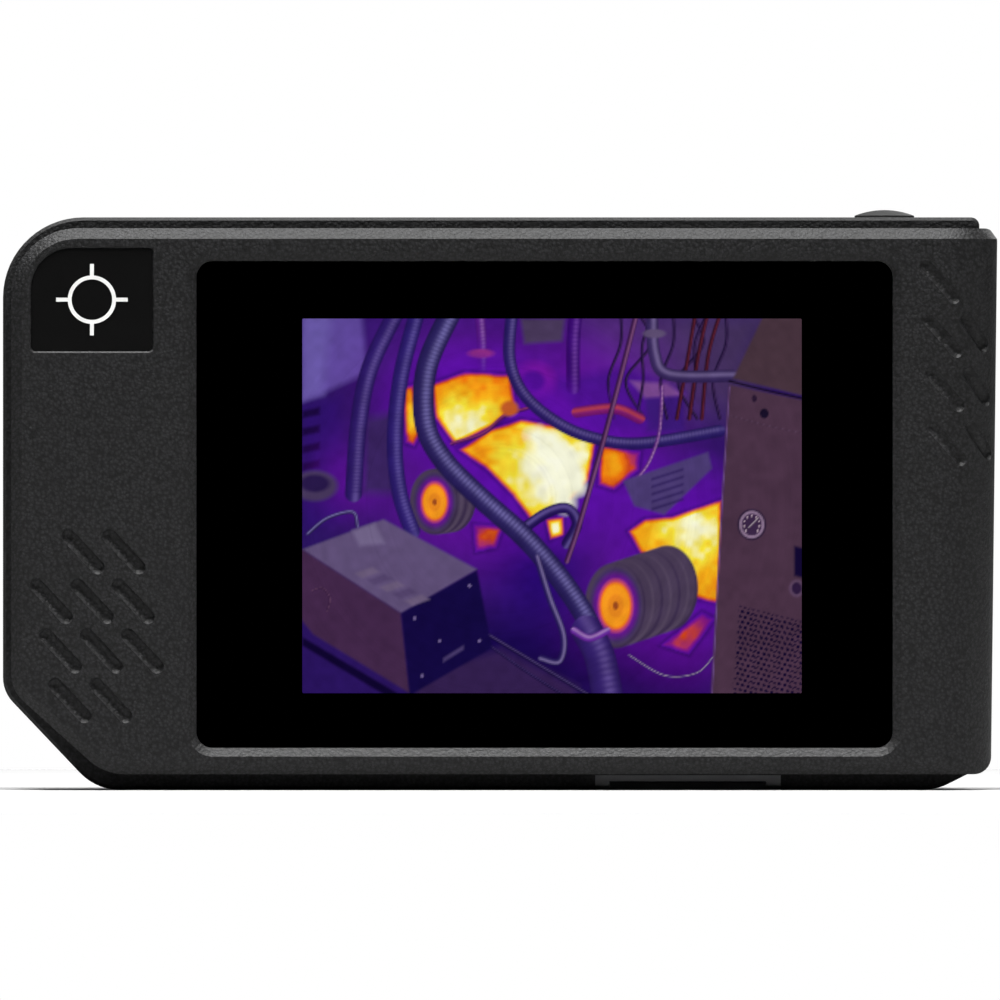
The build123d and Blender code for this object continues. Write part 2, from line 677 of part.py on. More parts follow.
def shell_seal():
    outline = [
        (FRONT_LEFT + FRONT_CUT_X, FRONT_BOTTOM, CUT_LOW_R),
        (REAR_RIGHT - SIDE_TAPER, FRONT_BOTTOM, FRONT_BOTTOM_RIGHT_R),
        (REAR_RIGHT, FRONT_TOP, FRONT_TOP_RIGHT_R),
        (FRONT_LEFT, FRONT_TOP, FRONT_TOP_LEFT_R),
        (FRONT_LEFT, FRONT_BOTTOM + FRONT_CUT_Z, CUT_HIGH_R),
    ]
    outer = slab(inset(outline, SEAL_INSET), PARTING_Y, PARTING_Y + SEAL_T)
    inner = slab(inset(outline, SEAL_INSET + SEAL_WIDTH), PARTING_Y - MARGIN, PARTING_Y + MARGIN)
    return outer - inner


def mid_frame():
    """Aluminium chassis plate between the display and the main board."""
    plate = slab(inset(front_corners(FRONT_CAVITY_RIGHT + WALL), WALL + FRAME_GAP),
                 PARTING_Y - FRAME_T, PARTING_Y)
    for x, z in SCREW_PLACES:
        plate -= rod_y(x, z, SCREW_R + FRAME_HOLE_GAP, PARTING_Y - MARGIN - FRAME_T, PARTING_Y + MARGIN)
    plate -= block(FLEX_X - FLEX_WIDTH / 2 - FRAME_GAP, FLEX_X + FLEX_WIDTH / 2 + FRAME_GAP,
                   PARTING_Y - MARGIN - FRAME_T, PARTING_Y + MARGIN, 0, FLEX_LOW_Z + FRAME_SLOT)
    return plate


# ---------------------------------------------------------------- window and display
def touch_glass():
    return slab(glass_corners(), GLASS_Y, GLASS_BACK)


def glass_border():
    """Black print behind the glass, open over the picture."""
    ink = slab(glass_corners(), GLASS_BACK, GLASS_BACK + INK_T)
    return ink - slab(picture_corners(), GLASS_BACK - MARGIN, GLASS_BACK + MARGIN)


def optical_bond():
    """Clear adhesive between glass and panel, with a pad that fills the print's opening."""
    sheet = slab(panel_corners(), GLASS_BACK + INK_T, PANEL_Y)
    return sheet + slab(picture_corners(), GLASS_BACK, GLASS_BACK + INK_T + EPS)


def display_panel():
    return slab(panel_corners(), PANEL_Y, PANEL_Y + PANEL_T)


def backlight():
    return slab(panel_corners(), PANEL_Y + PANEL_T, PANEL_Y + PANEL_T + BACKLIGHT_T)


def display_tray():
    """Pressed steel pan that holds the panel and backlight, notched for the ribbon."""
    floor_y = PANEL_Y + PANEL_T + BACKLIGHT_T
    tray = slab(panel_corners(TRAY_GAP + TRAY_WALL), PANEL_Y, floor_y + TRAY_WALL)
    tray -= slab(panel_corners(TRAY_GAP), PANEL_Y - MARGIN, floor_y)
    low = PICTURE_BOTTOM - PANEL_TAIL_RIM
    tray -= block(FLEX_X - FLEX_WIDTH / 2 - TRAY_GAP, FLEX_X + FLEX_WIDTH / 2 + TRAY_GAP,
                  PANEL_Y - MARGIN, floor_y, low - MARGIN, low)
    return tray


def display_foam():
    """Foam frame that presses the tray against the glass."""
    front = PANEL_Y + PANEL_T + BACKLIGHT_T + TRAY_WALL
    outer = slab(panel_corners(), front, PARTING_Y - FRAME_T)
    return outer - slab(inset(panel_corners(), FOAM_WIDTH), front - MARGIN, PARTING_Y)


def display_ribbon():
    """Flat cable from the panel's lower edge, under the mid frame, to the main board."""
    left = FLEX_X - FLEX_WIDTH / 2
    right = FLEX_X + FLEX_WIDTH / 2
    front = PANEL_Y + PANEL_T / 2
    low = PICTURE_BOTTOM - PANEL_TAIL_RIM
    back = BOARD_Y - CONNECTOR_T / 2
    ribbon = block(left, right, front, front + FLEX_T, FLEX_LOW_Z, low)
    ribbon += block(left, right, front, back, FLEX_LOW_Z, FLEX_LOW_Z + FLEX_T)
    ribbon += block(left, right, back - FLEX_T, back, FLEX_LOW_Z, FLEX_PLUG_Z)
    return ribbon


# ---------------------------------------------------------------- badge
def badge_plate():
    return slab(badge_corners(), FACE_Y + BADGE_SINK - BADGE_T, FACE_Y + BADGE_SINK)


def badge_mark():
    """Plain target mark: a printed ring with four ticks."""
    back = FACE_Y + BADGE_SINK - BADGE_T
    front = back - MARK_T
    x = (BADGE_LEFT + BADGE_RIGHT) / 2
    z = (BADGE_BOTTOM + BADGE_TOP) / 2
    mark = rod_y(x, z, MARK_R, front, back)
    mark -= rod_y(x, z, MARK_R - MARK_LINE, front - MARGIN, back + MARGIN)
    near = MARK_R - MARK_LINE / 2
    half = MARK_LINE / 2
    for side in (-1, 1):
        start, stop = sorted((side * near, side * (near + MARK_TICK)))
        mark += block(x + start, x + stop, front, back, z - half, z + half)
        mark += block(x - half, x + half, front, back, z + start, z + stop)
    return mark


# ---------------------------------------------------------------- shutter button
def dome_cap(x, y, z, r, rise):
    """Low round-topped disc, rise high, on a base circle of radius r at height z."""
    ball = (r * r + rise * rise) / (2 * rise)
    top = Pos(x, y, z + rise - ball) * Sphere(ball)
    return top & block(x - r, x + r, y - r, y + r, z - EPS, z + rise + MARGIN)


def shutter_button():
    top = REAR_TOP + BUTTON_PROUD
    skirt = BUTTON_FLOOR_Z + BUTTON_TRAVEL + SKIRT_GAP
    cap = rod_z(BUTTON_X, BUTTON_Y, BUTTON_R, skirt, top - BUTTON_DOME)
    cap += dome_cap(BUTTON_X, BUTTON_Y, top - BUTTON_DOME, BUTTON_R, BUTTON_DOME)
    cap -= rod_z(BUTTON_X, BUTTON_Y, BUTTON_R - BUTTON_WALL, skirt - MARGIN, top - BUTTON_CROWN)
    cap += rod_z(BUTTON_X, BUTTON_Y, STEM_R, STEM_END_Z, top - BUTTON_CROWN + EPS)
    return cap


def button_collar():
    ring = rod_z(BUTTON_X, BUTTON_Y, COLLAR_R, REAR_TOP - COLLAR_T, REAR_TOP)
    return ring - rod_z(BUTTON_X, BUTTON_Y, BUTTON_R + BUTTON_GAP, 0, REAR_TOP + MARGIN)


def button_spring():
    """Return spring round the stem, drawn as flat coils joined by one upright."""
    low = BUTTON_FLOOR_Z
    high = REAR_TOP + BUTTON_PROUD - BUTTON_CROWN
    inner = SPRING_R - SPRING_WIRE / 2
    outer = SPRING_R + SPRING_WIRE / 2
    spring = block(BUTTON_X + inner + EPS, BUTTON_X + outer - SPRING_INDENT, BUTTON_Y - SPRING_WIRE / 2,
                   BUTTON_Y + SPRING_WIRE / 2, low, high)
    for k in range(SPRING_TURNS + 1):
        z = low + (high - low - SPRING_WIRE) * k / SPRING_TURNS
        coil = rod_z(BUTTON_X, BUTTON_Y, outer, z, z + SPRING_WIRE)
        spring += coil - rod_z(BUTTON_X, BUTTON_Y, inner, z - MARGIN, z + MARGIN)
    return spring


def button_clip():
    top = BUTTON_FLOOR_Z - WALL - PLUNGER_GAP
    clip = rod_z(BUTTON_X, BUTTON_Y, CLIP_R, top - CLIP_T, top)
    return clip - rod_z(BUTTON_X, BUTTON_Y, STEM_R, 0, REAR_TOP)


def switch_plunger():
    return rod_z(BUTTON_X, BUTTON_Y, PLUNGER_R, SWITCH_TOP_Z - PLUNGER_IN,
                 SWITCH_TOP_Z + PLUNGER_OUT)


def tact_switch():
    half = SWITCH_SIZE / 2
    body = block(BUTTON_X - half, BUTTON_X + half, BUTTON_Y - half, BUTTON_Y + half,
                 SWITCH_BOARD_Z, SWITCH_TOP_Z)
    hole = PLUNGER_IN + BUTTON_TRAVEL + PLUNGER_GAP
    return body - rod_z(BUTTON_X, BUTTON_Y, PLUNGER_R + SLIDE_GAP, SWITCH_TOP_Z - hole, REAR_TOP)


def switch_board():
    return block(BUTTON_X - SWITCH_BOARD_HALF, BUTTON_X + SWITCH_BOARD_HALF, BOARD_BACK_Y,
                 BUTTON_Y + SWITCH_BOARD_HALF, SWITCH_BOARD_Z - SWITCH_BOARD_T, SWITCH_BOARD_Z)


# ---------------------------------------------------------------- fasteners
def screw(x, z, seat_y, end_y, shank_r, head_r, head_t):
    """Pan-head screw along Y. Its head lies under seat_y and its tip is at end_y."""
    outward = 1 if seat_y > end_y else -1
    first, last = sorted((end_y, seat_y + outward * EPS))
    body = rod_y(x, z, shank_r, first, last)
    first, last = sorted((seat_y, seat_y + outward * head_t))
    head = rod_y(x, z, head_r, first, last)
    sink = head_t * DRIVE_DEPTH
    slot = head_r * DRIVE_WIDTH
    first, last = sorted((seat_y + outward * (head_t - sink), seat_y + outward * (head_t + EPS)))
    drive = block(x - slot, x + slot, first, last, z - slot / 3, z + slot / 3)
    drive += block(x - slot / 3, x + slot / 3, first, last, z - slot, z + slot)
    return (body + head) - drive


def case_screws():
    return [screw(x, z, SCREW_SEAT_Y, PARTING_Y - SCREW_BITE, SCREW_R, SCREW_HEAD_R, SCREW_HEAD_T)
            for x, z in SCREW_PLACES]


def screw_plugs():
    return [rod_y(x, z, SCREW_HEAD_R + PLUG_GAP, BACK_Y - PLUG_T, BACK_Y - PLUG_GAP)
            for x, z in SCREW_PLACES]


def board_screws():
    return [screw(x, z, BOARD_Y, BOARD_BACK_Y + POST_SCREW_BITE, POST_SCREW_R,
                  POST_SCREW_HEAD_R, POST_SCREW_HEAD_T) for x, z in POST_PLACES]


def mount_screws():
    return [screw(x, z, BARREL_START_Y, MOUNT_BACK_Y + POST_SCREW_BITE, POST_SCREW_R,
                  POST_SCREW_HEAD_R, POST_SCREW_HEAD_T) for x, z in MOUNT_SCREWS]


def tripod_insert():
    """Brass bush with a plain bore at the thread's full width, closed at its inner end."""
    bush = rod_z(TRIPOD_X, TRIPOD_Y, TRIPOD_OUTER_R, 0, TRIPOD_DEPTH)
    return bush - rod_z(TRIPOD_X, TRIPOD_Y, TRIPOD_R, -MARGIN, TRIPOD_DEPTH - MARGIN)


# ---------------------------------------------------------------- port
def port_frame():
    """Stiff grey frame let into the bottom edge, with the flap's hinge blocks at its back."""
    front = PARTING_Y + SEAL_T
    frame = block(PORT_LEFT, PORT_RIGHT, front, PORT_BACK_Y, PORT_TOP - PORT_FRAME_T, PORT_TOP)
    for left in (PORT_LEFT, PORT_RIGHT - PORT_LEG):
        frame += block(left, left + PORT_LEG, front, PORT_BACK_Y, PORT_LEG_BOTTOM, PORT_TOP)
        frame += block(left, left + PORT_LEG, PORT_BACK_Y - PIN_BLOCK, PORT_BACK_Y,
                       PIN_BLOCK_Z, PORT_TOP)
    frame -= rod_x(PIN_Y, PIN_Z, PIN_R, PORT_LEFT + PIN_END, PORT_RIGHT - PIN_END)
    usb_x, usb_y, _ = USB_SIZE
    frame -= block(PORT_MID - usb_x / 2 - USB_GAP, PORT_MID + usb_x / 2 + USB_GAP,
                   USB_Y - usb_y / 2 - USB_GAP, USB_Y + usb_y / 2 + USB_GAP,
                   PORT_LEG_BOTTOM, PORT_TOP + MARGIN)
    return frame


def flap_pin():
    return rod_x(PIN_Y, PIN_Z, PIN_R, PORT_LEFT + PIN_END, PORT_RIGHT - PIN_END)


def port_flap():
    left = PORT_LEFT + PORT_LEG + FLAP_GAP
    right = PORT_RIGHT - PORT_LEG - FLAP_GAP
    front = PARTING_Y + SEAL_T + FLAP_GAP
    flap = block(left, right, front, PIN_Y, FLAP_Z, FLAP_Z + FLAP_T)
    flap += rod_x(PIN_Y, PIN_Z, FLAP_T / 2, left, right)
    return flap - rod_x(PIN_Y, PIN_Z, PIN_R + FLAP_GAP / 2, left - MARGIN, right + MARGIN)


def usb_receptacle():
    """Steel shell of the micro-USB socket, opening downwards, with its contact tongue."""
    usb_x, usb_y, usb_z = USB_SIZE
    left = PORT_MID - usb_x / 2
    right = PORT_MID + usb_x / 2
    front = USB_Y - usb_y / 2
    back = USB_Y + usb_y / 2
    top = PORT_TOP + usb_z
    shell = block(left, right, front, back, PORT_TOP, top)
    shell -= block(left + USB_WALL, right - USB_WALL, front + USB_WALL, back - USB_WALL,
                   PORT_TOP - MARGIN, top - USB_WALL)
    tongue = block(left + USB_WALL * 4, right - USB_WALL * 4, USB_Y - USB_WALL, USB_Y + USB_WALL,
                   PORT_TOP + MARGIN, top - USB_WALL + EPS)
    return shell + tongue


# ---------------------------------------------------------------- lens group
def lens_bezel():
    face = rectangle(LENS_X - BEZEL_R, CAMERA_X + BEZEL_R, LENS_Z - BEZEL_R,
                     LENS_Z + BEZEL_R, BEZEL_R - EPS)
    start = BEZEL_Y - BEZEL_EDGE_R
    bezel = slab(face, BACK_Y, start)
    for piece in rounded_end(face, start, BEZEL_Y, BEZEL_EDGE_R):
        bezel += piece
    bezel -= rod_y(LENS_X, LENS_Z, BARREL_R + LENS_GAP, BACK_Y - MARGIN, BEZEL_Y + MARGIN)
    flare = Pos(LENS_X, (BARREL_MOUTH_Y + BEZEL_Y) / 2, LENS_Z) * Rot(-90, 0, 0) * Cone(
        BARREL_R + LENS_GAP, BARREL_R + BEZEL_FLARE, BEZEL_Y - BARREL_MOUTH_Y)
    bezel -= flare
    bezel -= rod_y(CAMERA_X, LENS_Z, CAMERA_R + LENS_GAP * 4, BACK_Y - MARGIN, BEZEL_Y + MARGIN)
    bezel -= rod_y(CAMERA_X, LENS_Z, WINDOW_R + LENS_GAP, BEZEL_Y - WINDOW_SINK - WINDOW_T,
                   BEZEL_Y + MARGIN)
    return bezel


def lens_barrel():
    barrel = rod_y(LENS_X, LENS_Z, BARREL_R, BARREL_START_Y, BARREL_MOUTH_Y)
    barrel -= rod_y(LENS_X, LENS_Z, LENS_STEP_R, BARREL_START_Y - MARGIN, BARREL_MOUTH_Y)
    return barrel - rod_y(LENS_X, LENS_Z, BARREL_BORE, LENS_STEP_Y, BARREL_MOUTH_Y + MARGIN)


def rear_lens():
    return rod_y(LENS_X, LENS_Z, LENS_R, LENS_STEP_Y, LENS_STEP_Y + REAR_LENS_T)


def front_lens_y():
    return BARREL_MOUTH_Y - RING_T - LENS_GAP * 4 - LENS_T


def lens_spacer():
    tube = rod_y(LENS_X, LENS_Z, LENS_R, LENS_STEP_Y + REAR_LENS_T, front_lens_y())
    return tube - rod_y(LENS_X, LENS_Z, RING_BORE, 0, BARREL_MOUTH_Y)


def thermal_lens():
    """Front lens of dark infrared glass, with a domed face inside the ring's bore."""
    start = front_lens_y()
    lens = rod_y(LENS_X, LENS_Z, LENS_R, start, start + LENS_T)
    dome_r = RING_BORE - LENS_GAP * 2
    ball = (dome_r ** 2 + LENS_DOME ** 2) / (2 * LENS_DOME)
    dome = Pos(LENS_X, start + LENS_T + LENS_DOME - ball, LENS_Z) * Rot(90, 0, 0) * Sphere(ball)
    cap = rod_y(LENS_X, LENS_Z, dome_r, start + LENS_T - EPS, BEZEL_Y)
    return lens + (dome & cap)


def lens_ring():
    start = front_lens_y() + LENS_T
    ring = rod_y(LENS_X, LENS_Z, LENS_R, start, start + RING_T)
    return ring - rod_y(LENS_X, LENS_Z, RING_BORE, 0, BEZEL_Y)


def lens_mount():
    """Plate that holds the barrel, the camera and the shutter actuator over the sensor."""
    plate = block(LENS_X - MOUNT_HALF, MOUNT_RIGHT, BARREL_START_Y, MOUNT_BACK_Y,
                  LENS_Z - MOUNT_HALF, LENS_Z + MOUNT_HALF)
    near = SENSOR_BOARD / 2 - MOUNT_LEG
    for side_x, side_z in ((-1, -1), (-1, 1), (1, 1)):
        x = sorted((LENS_X + side_x * near, LENS_X + side_x * (near + MOUNT_LEG)))
        z = sorted((LENS_Z + side_z * near, LENS_Z + side_z * (near + MOUNT_LEG)))
        plate += block(x[0], x[1], SENSOR_BOARD_Y + SENSOR_BOARD_T, BARREL_START_Y + EPS, z[0], z[1])
    plate -= rod_y(LENS_X, LENS_Z, BARREL_R, SENSOR_BOARD_Y, MOUNT_BACK_Y + MARGIN)
    plate -= rod_y(PIVOT_X, LENS_Z, ROTOR_R + ROTOR_GAP, BARREL_START_Y - MARGIN, MOUNT_BACK_Y + MARGIN)
    for x, z in MOUNT_SCREWS:
        plate -= rod_y(x, z, POST_SCREW_R + SCREW_GAP, BARREL_START_Y - MARGIN, MOUNT_BACK_Y + MARGIN)
    return plate


def calibration_blade():
    """Thin flag on its rotor, parked clear of the lens."""
    angle = math.radians(180 + PARK)
    tip_x = PIVOT_X + ARM * math.cos(angle)
    tip_z = LENS_Z + ARM * math.sin(angle)
    disc = rod_y(tip_x, tip_z, BLADE_R, BLADE_Y, BLADE_Y + BLADE_T)
    middle = Pos((PIVOT_X + tip_x) / 2, BLADE_Y + BLADE_T / 2, (LENS_Z + tip_z) / 2)
    arm = middle * Rot(0, -(180 + PARK), 0) * Box(ARM, BLADE_T, BLADE_ARM)
    hub = rod_y(PIVOT_X, LENS_Z, ROTOR_HUB_R, BLADE_Y, BLADE_Y + BLADE_T)
    rotor = rod_y(PIVOT_X, LENS_Z, ROTOR_R, BLADE_Y, MOUNT_BACK_Y + ACTUATOR_T - MARGIN)
    return disc.fuse(arm, hub, rotor)


def shutter_actuator():
    motor = rod_y(PIVOT_X, LENS_Z, ACTUATOR_R, MOUNT_BACK_Y, MOUNT_BACK_Y + ACTUATOR_T)
    return motor - rod_y(PIVOT_X, LENS_Z, ROTOR_R + ROTOR_GAP, 0,
                         MOUNT_BACK_Y + ACTUATOR_T - MARGIN + ROTOR_GAP)


def camera_module():
    half = CAMERA_BODY / 2
    body = block(CAMERA_X - half, CAMERA_X + half, MOUNT_BACK_Y, MOUNT_BACK_Y + CAMERA_T,
                 LENS_Z - half, LENS_Z + half)
    return body + rod_y(CAMERA_X, LENS_Z, CAMERA_R, MOUNT_BACK_Y + CAMERA_T - EPS, CAMERA_TIP_Y)


def camera_window():
    return rod_y(CAMERA_X, LENS_Z, WINDOW_R, BEZEL_Y - WINDOW_SINK - WINDOW_T,
                 BEZEL_Y - WINDOW_SINK)


def sensor_board():
    half = SENSOR_BOARD / 2
    return block(LENS_X - half, LENS_X + half, SENSOR_BOARD_Y, SENSOR_BOARD_Y + SENSOR_BOARD_T,
                 LENS_Z - half, LENS_Z + half)


def thermal_sensor():
    half = SENSOR_SIZE / 2
    start = SENSOR_BOARD_Y + SENSOR_BOARD_T
    return block(LENS_X - half, LENS_X + half, start, start + SENSOR_T, LENS_Z - half, LENS_Z + half)


def sensor_window():
    half = SENSOR_WINDOW / 2
    start = SENSOR_BOARD_Y + SENSOR_BOARD_T + SENSOR_T
    return block(LENS_X - half, LENS_X + half, start, start + SENSOR_WINDOW_T,
                 LENS_Z - half, LENS_Z + half)


def sensor_connector():
    return block(LENS_X - SENSOR_SIZE / 2, LENS_X + SENSOR_SIZE / 2, BOARD_BACK_Y,
                 SENSOR_BOARD_Y, LENS_Z - MOUNT_LEG, LENS_Z + MOUNT_LEG)


# ---------------------------------------------------------------- electronics and battery
def main_board():
    board = block(BOARD_LEFT, BOARD_RIGHT, BOARD_Y, BOARD_BACK_Y, BOARD_BOTTOM, BOARD_TOP)
    board += block(BOARD_TAB[0], BOARD_TAB[1], BOARD_Y, BOARD_BACK_Y, BOARD_TAB_BOTTOM,
                   BOARD_BOTTOM + EPS)
    for x, z in POST_PLACES:
        board -= rod_y(x, z, POST_SCREW_R + FRAME_HOLE_GAP, BOARD_Y - MARGIN, BOARD_BACK_Y + MARGIN)
    return board


def board_part(centre, size_x, size_z, height):
    """Plain component on the back of the main board."""
    x, z = centre
    return block(x - size_x / 2, x + size_x / 2, BOARD_BACK_Y, BOARD_BACK_Y + height,
                 z - size_z / 2, z + size_z / 2)


def processor():
    return board_part(PROCESSOR, PROCESSOR_SIZE, PROCESSOR_SIZE, CHIP_T)


def memory_chips():
    return [board_part(place, MEMORY_SIZE, MEMORY_SIZE, CHIP_T) for place in MEMORY]


def shield_can():
    can = board_part(PROCESSOR, SHIELD_SIZE[0], SHIELD_SIZE[1], SHIELD_T)
    x, z = PROCESSOR
    half_x = SHIELD_SIZE[0] / 2 - SHIELD_WALL
    half_z = SHIELD_SIZE[1] / 2 - SHIELD_WALL
    return can - block(x - half_x, x + half_x, BOARD_BACK_Y - MARGIN,
                       BOARD_BACK_Y + SHIELD_T - SHIELD_WALL, z - half_z, z + half_z)


def radio_module():
    return board_part(RADIO, RADIO_SIZE[0], RADIO_SIZE[1], SHIELD_T)


def display_connector():
    left = FLEX_X - FLEX_WIDTH / 2 - TRAY_GAP
    right = FLEX_X + FLEX_WIDTH / 2 + TRAY_GAP
    return block(left, right, BOARD_Y - CONNECTOR_T, BOARD_Y, FLEX_PLUG_Z, FLEX_PLUG_Z + RIBBON_SEAT)


def battery_box(grow_top=0.0):
    width, _, height = BATTERY_SIZE
    x, z = BATTERY_CENTRE
    return (x - width / 2, x + width / 2, z - height / 2, z + height / 2 + grow_top)


def battery_cell():
    left, right, low, high = battery_box()
    back = BACK_Y - WALL - BATTERY_PAD_T
    return slab(rectangle(left, right, low, high, CELL_EDGE_R), back - BATTERY_SIZE[1], back)


def battery_pad():
    left, right, low, high = battery_box()
    back = BACK_Y - WALL
    return slab(inset(rectangle(left, right, low, high, CELL_EDGE_R), FOAM_WIDTH),
                back - BATTERY_PAD_T, back)


def battery_board():
    left, right, low, high = battery_box()
    back = BACK_Y - WALL - BATTERY_PAD_T
    return block(left + FOAM_WIDTH, right - FOAM_WIDTH, back - BATTERY_SIZE[1] / 2, back,
                 high, high + CELL_CAP)


def battery_plug():
    """Plug and socket on the main board below the cell's protection board."""
    x, z = BATTERY_CENTRE
    return board_part((x, z + BATTERY_SIZE[2] / 2 + CELL_CAP / 2), MEMORY_SIZE, CELL_CAP,
                      BACK_Y - WALL - BATTERY_PAD_T - BATTERY_SIZE[1] / 2 - BOARD_BACK_Y)


def antenna():
    top = REAR_TOP - WALL
    return block(ANTENNA[0], ANTENNA[1], 0, ANTENNA_WIDTH, top - ANTENNA_T, top)


# ---------------------------------------------------------------- grip on the back
def rear_grip():
    """Soft pad that the fingers pull against, with slanted grooves like those on the face."""
    pad = rectangle(GRIP_LEFT, GRIP_RIGHT, GRIP_BOTTOM, GRIP_TOP, GRIP_R)
    start = BACK_Y + GRIP_T - GRIP_EDGE_R
    grip = slab(pad, BACK_Y, start)
    for piece in rounded_end(pad, start, BACK_Y + GRIP_T, GRIP_EDGE_R):
        grip += piece
    middle = (GRIP_LEFT + GRIP_RIGHT) / 2
    first = (GRIP_BOTTOM + GRIP_TOP) / 2 + GRIP_SLOT * (GRIP_SLOTS - 1) / 2
    half_x, half_z = GROOVE_HALF
    y = BACK_Y + GRIP_T + GROOVE_R - GROOVE_DEPTH
    for k in range(GRIP_SLOTS):
        for side in (-1, 1):
            x = middle + side * GRIP_COLUMN / 2
            z = first - k * GRIP_SLOT
            start_at = Vector(x + half_x, y, z + half_z)
            run = Vector(-2 * half_x, 0, -2 * half_z)
            plane = Plane(origin=start_at, z_dir=run.normalized())
            grip -= extrude(plane * Circle(GROOVE_R), amount=run.length)
            for end in (start_at, start_at + run):
                grip -= Pos(end.X, end.Y, end.Z) * Sphere(GROOVE_R)
    return grip


# ---------------------------------------------------------------- the whole camera
SINGLE_NODES = (
    front_cover, rear_cover, shell_seal, mid_frame, touch_glass, glass_border, optical_bond,
    display_panel, backlight, display_tray, display_foam, display_ribbon, display_connector,
    badge_plate, badge_mark, shutter_button, button_collar, button_spring, button_clip,
    switch_plunger, tact_switch, switch_board, tripod_insert, port_frame, flap_pin, port_flap,
    usb_receptacle, lens_bezel, lens_barrel, rear_lens, lens_spacer, thermal_lens, lens_ring,
    lens_mount, calibration_blade, shutter_actuator, camera_module, camera_window,
    sensor_board, thermal_sensor, sensor_window, sensor_connector, main_board, processor,
    shield_can, radio_module, battery_cell, battery_pad, battery_board, battery_plug, antenna,
    rear_grip,
)
GROUP_NODES = (case_screws, screw_plugs, board_screws, mount_screws, memory_chips)

os.makedirs("parts", exist_ok=True)
for build in SINGLE_NODES:
    save(build.__name__, build())
for build in GROUP_NODES:
    save(build.__name__, *build())
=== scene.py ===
"""Handheld thermal imaging camera: looks, lights and floor.

The casing, glass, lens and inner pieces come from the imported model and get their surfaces
here. The lit picture, the lights and the floor are made here.
"""
import math

import bmesh
import bpy
import numpy as np
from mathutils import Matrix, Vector


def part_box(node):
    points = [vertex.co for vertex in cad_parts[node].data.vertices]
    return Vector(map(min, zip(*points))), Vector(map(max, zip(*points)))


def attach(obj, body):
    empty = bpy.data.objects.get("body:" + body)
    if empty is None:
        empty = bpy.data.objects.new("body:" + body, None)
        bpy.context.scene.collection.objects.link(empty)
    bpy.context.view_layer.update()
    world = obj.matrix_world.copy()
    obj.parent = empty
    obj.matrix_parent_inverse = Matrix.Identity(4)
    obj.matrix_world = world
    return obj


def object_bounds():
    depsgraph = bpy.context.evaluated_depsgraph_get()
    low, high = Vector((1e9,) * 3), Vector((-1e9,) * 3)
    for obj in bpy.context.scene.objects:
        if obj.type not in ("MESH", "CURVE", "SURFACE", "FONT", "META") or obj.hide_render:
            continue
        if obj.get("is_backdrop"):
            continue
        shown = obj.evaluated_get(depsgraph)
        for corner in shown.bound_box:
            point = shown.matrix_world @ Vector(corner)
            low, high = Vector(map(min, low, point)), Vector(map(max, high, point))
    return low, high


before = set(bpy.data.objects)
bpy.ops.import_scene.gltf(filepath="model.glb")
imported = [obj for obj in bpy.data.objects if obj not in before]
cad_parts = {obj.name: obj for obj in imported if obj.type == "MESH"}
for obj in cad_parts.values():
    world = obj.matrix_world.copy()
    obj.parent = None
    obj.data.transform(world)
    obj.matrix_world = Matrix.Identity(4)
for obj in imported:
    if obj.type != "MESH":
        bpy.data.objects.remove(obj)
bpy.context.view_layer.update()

bl_info = {
    "name": "Thermal Camera Looks",
    "version": (1, 0, 0),
    "blender": (4, 5, 0),
    "location": "View3D > Sidebar > Thermal Camera",
    "description": "Builds the surfaces, screen picture, lights and floor of a thermal camera",
    "category": "Object",
}

MM = 0.001
BODY = "camera"


# ---------------------------------------------------------------- settings
class SurfaceSettings(bpy.types.PropertyGroup):
    grain_size: bpy.props.FloatProperty(
        name="Grain size", description="Width of one pebble of the moulded grain",
        default=0.48 * MM, unit="LENGTH")
    grain_depth: bpy.props.FloatProperty(
        name="Grain depth", description="Height of the moulded grain",
        default=0.08 * MM, unit="LENGTH")


class ScreenSettings(bpy.types.PropertyGroup):
    columns: bpy.props.IntProperty(
        name="Columns", description="Cells across the lit picture", default=340)
    rows: bpy.props.IntProperty(
        name="Rows", description="Cells up the lit picture", default=255)
    brightness: bpy.props.FloatProperty(
        name="Brightness", description="Strength of the lit picture", default=1.0)


class StageSettings(bpy.types.PropertyGroup):
    camera_distance: bpy.props.FloatProperty(
        name="Camera distance", description="From the middle of the casing to the lens",
        default=4.0, unit="LENGTH")
    key_power: bpy.props.FloatProperty(
        name="Key light", description="Power of the large light over the object", default=24.0)
    side_power: bpy.props.FloatProperty(
        name="Side lights", description="Power of the low light past the right end", default=0.9)
    back_power: bpy.props.FloatProperty(
        name="Back light", description="Power of the light on the lens side", default=2.2)
    fill_power: bpy.props.FloatProperty(
        name="Fill light", description="Power of the light by the camera", default=0.12)


# ---------------------------------------------------------------- materials
GRAIN_WARP = 0.4 * MM     # how far the pebbles are pushed out of a regular pattern
GRAIN_FINE = 3.5          # fine grit, times as small as the pebbles
GRAIN_FINE_SHARE = 0.8
GRAIN_CLOUD = 12          # slow change of tone, times as large as the pebbles
GRAIN_PAINTED_SHADE = 0.05          # painted shade between the pebbles; the next value is the painted highlight on their tops
GRAIN_PAINTED_HIGHLIGHT = 2.6
GRAIN_MIRROR = 0.28       # a textured surface mirrors less than a polished one


def srgb(code):
    """Linear colour with full alpha from a hex code such as "2a2b2c"."""
    values = []
    for i in (0, 2, 4):
        share = int(code[i:i + 2], 16) / 255
        values.append(share / 12.92 if share <= 0.04045 else ((share + 0.055) / 1.055) ** 2.4)
    return (*values, 1.0)


def add_node(tree, kind, inputs=None, **settings):
    """One shader node with its settings; an input is a value or another node's output."""
    node = tree.nodes.new(kind)
    for key, value in settings.items():
        setattr(node, key, value)
    for key, value in (inputs or {}).items():
        if isinstance(value, bpy.types.NodeSocket):
            tree.links.new(value, node.inputs[key])
        else:
            node.inputs[key].default_value = value
    return node


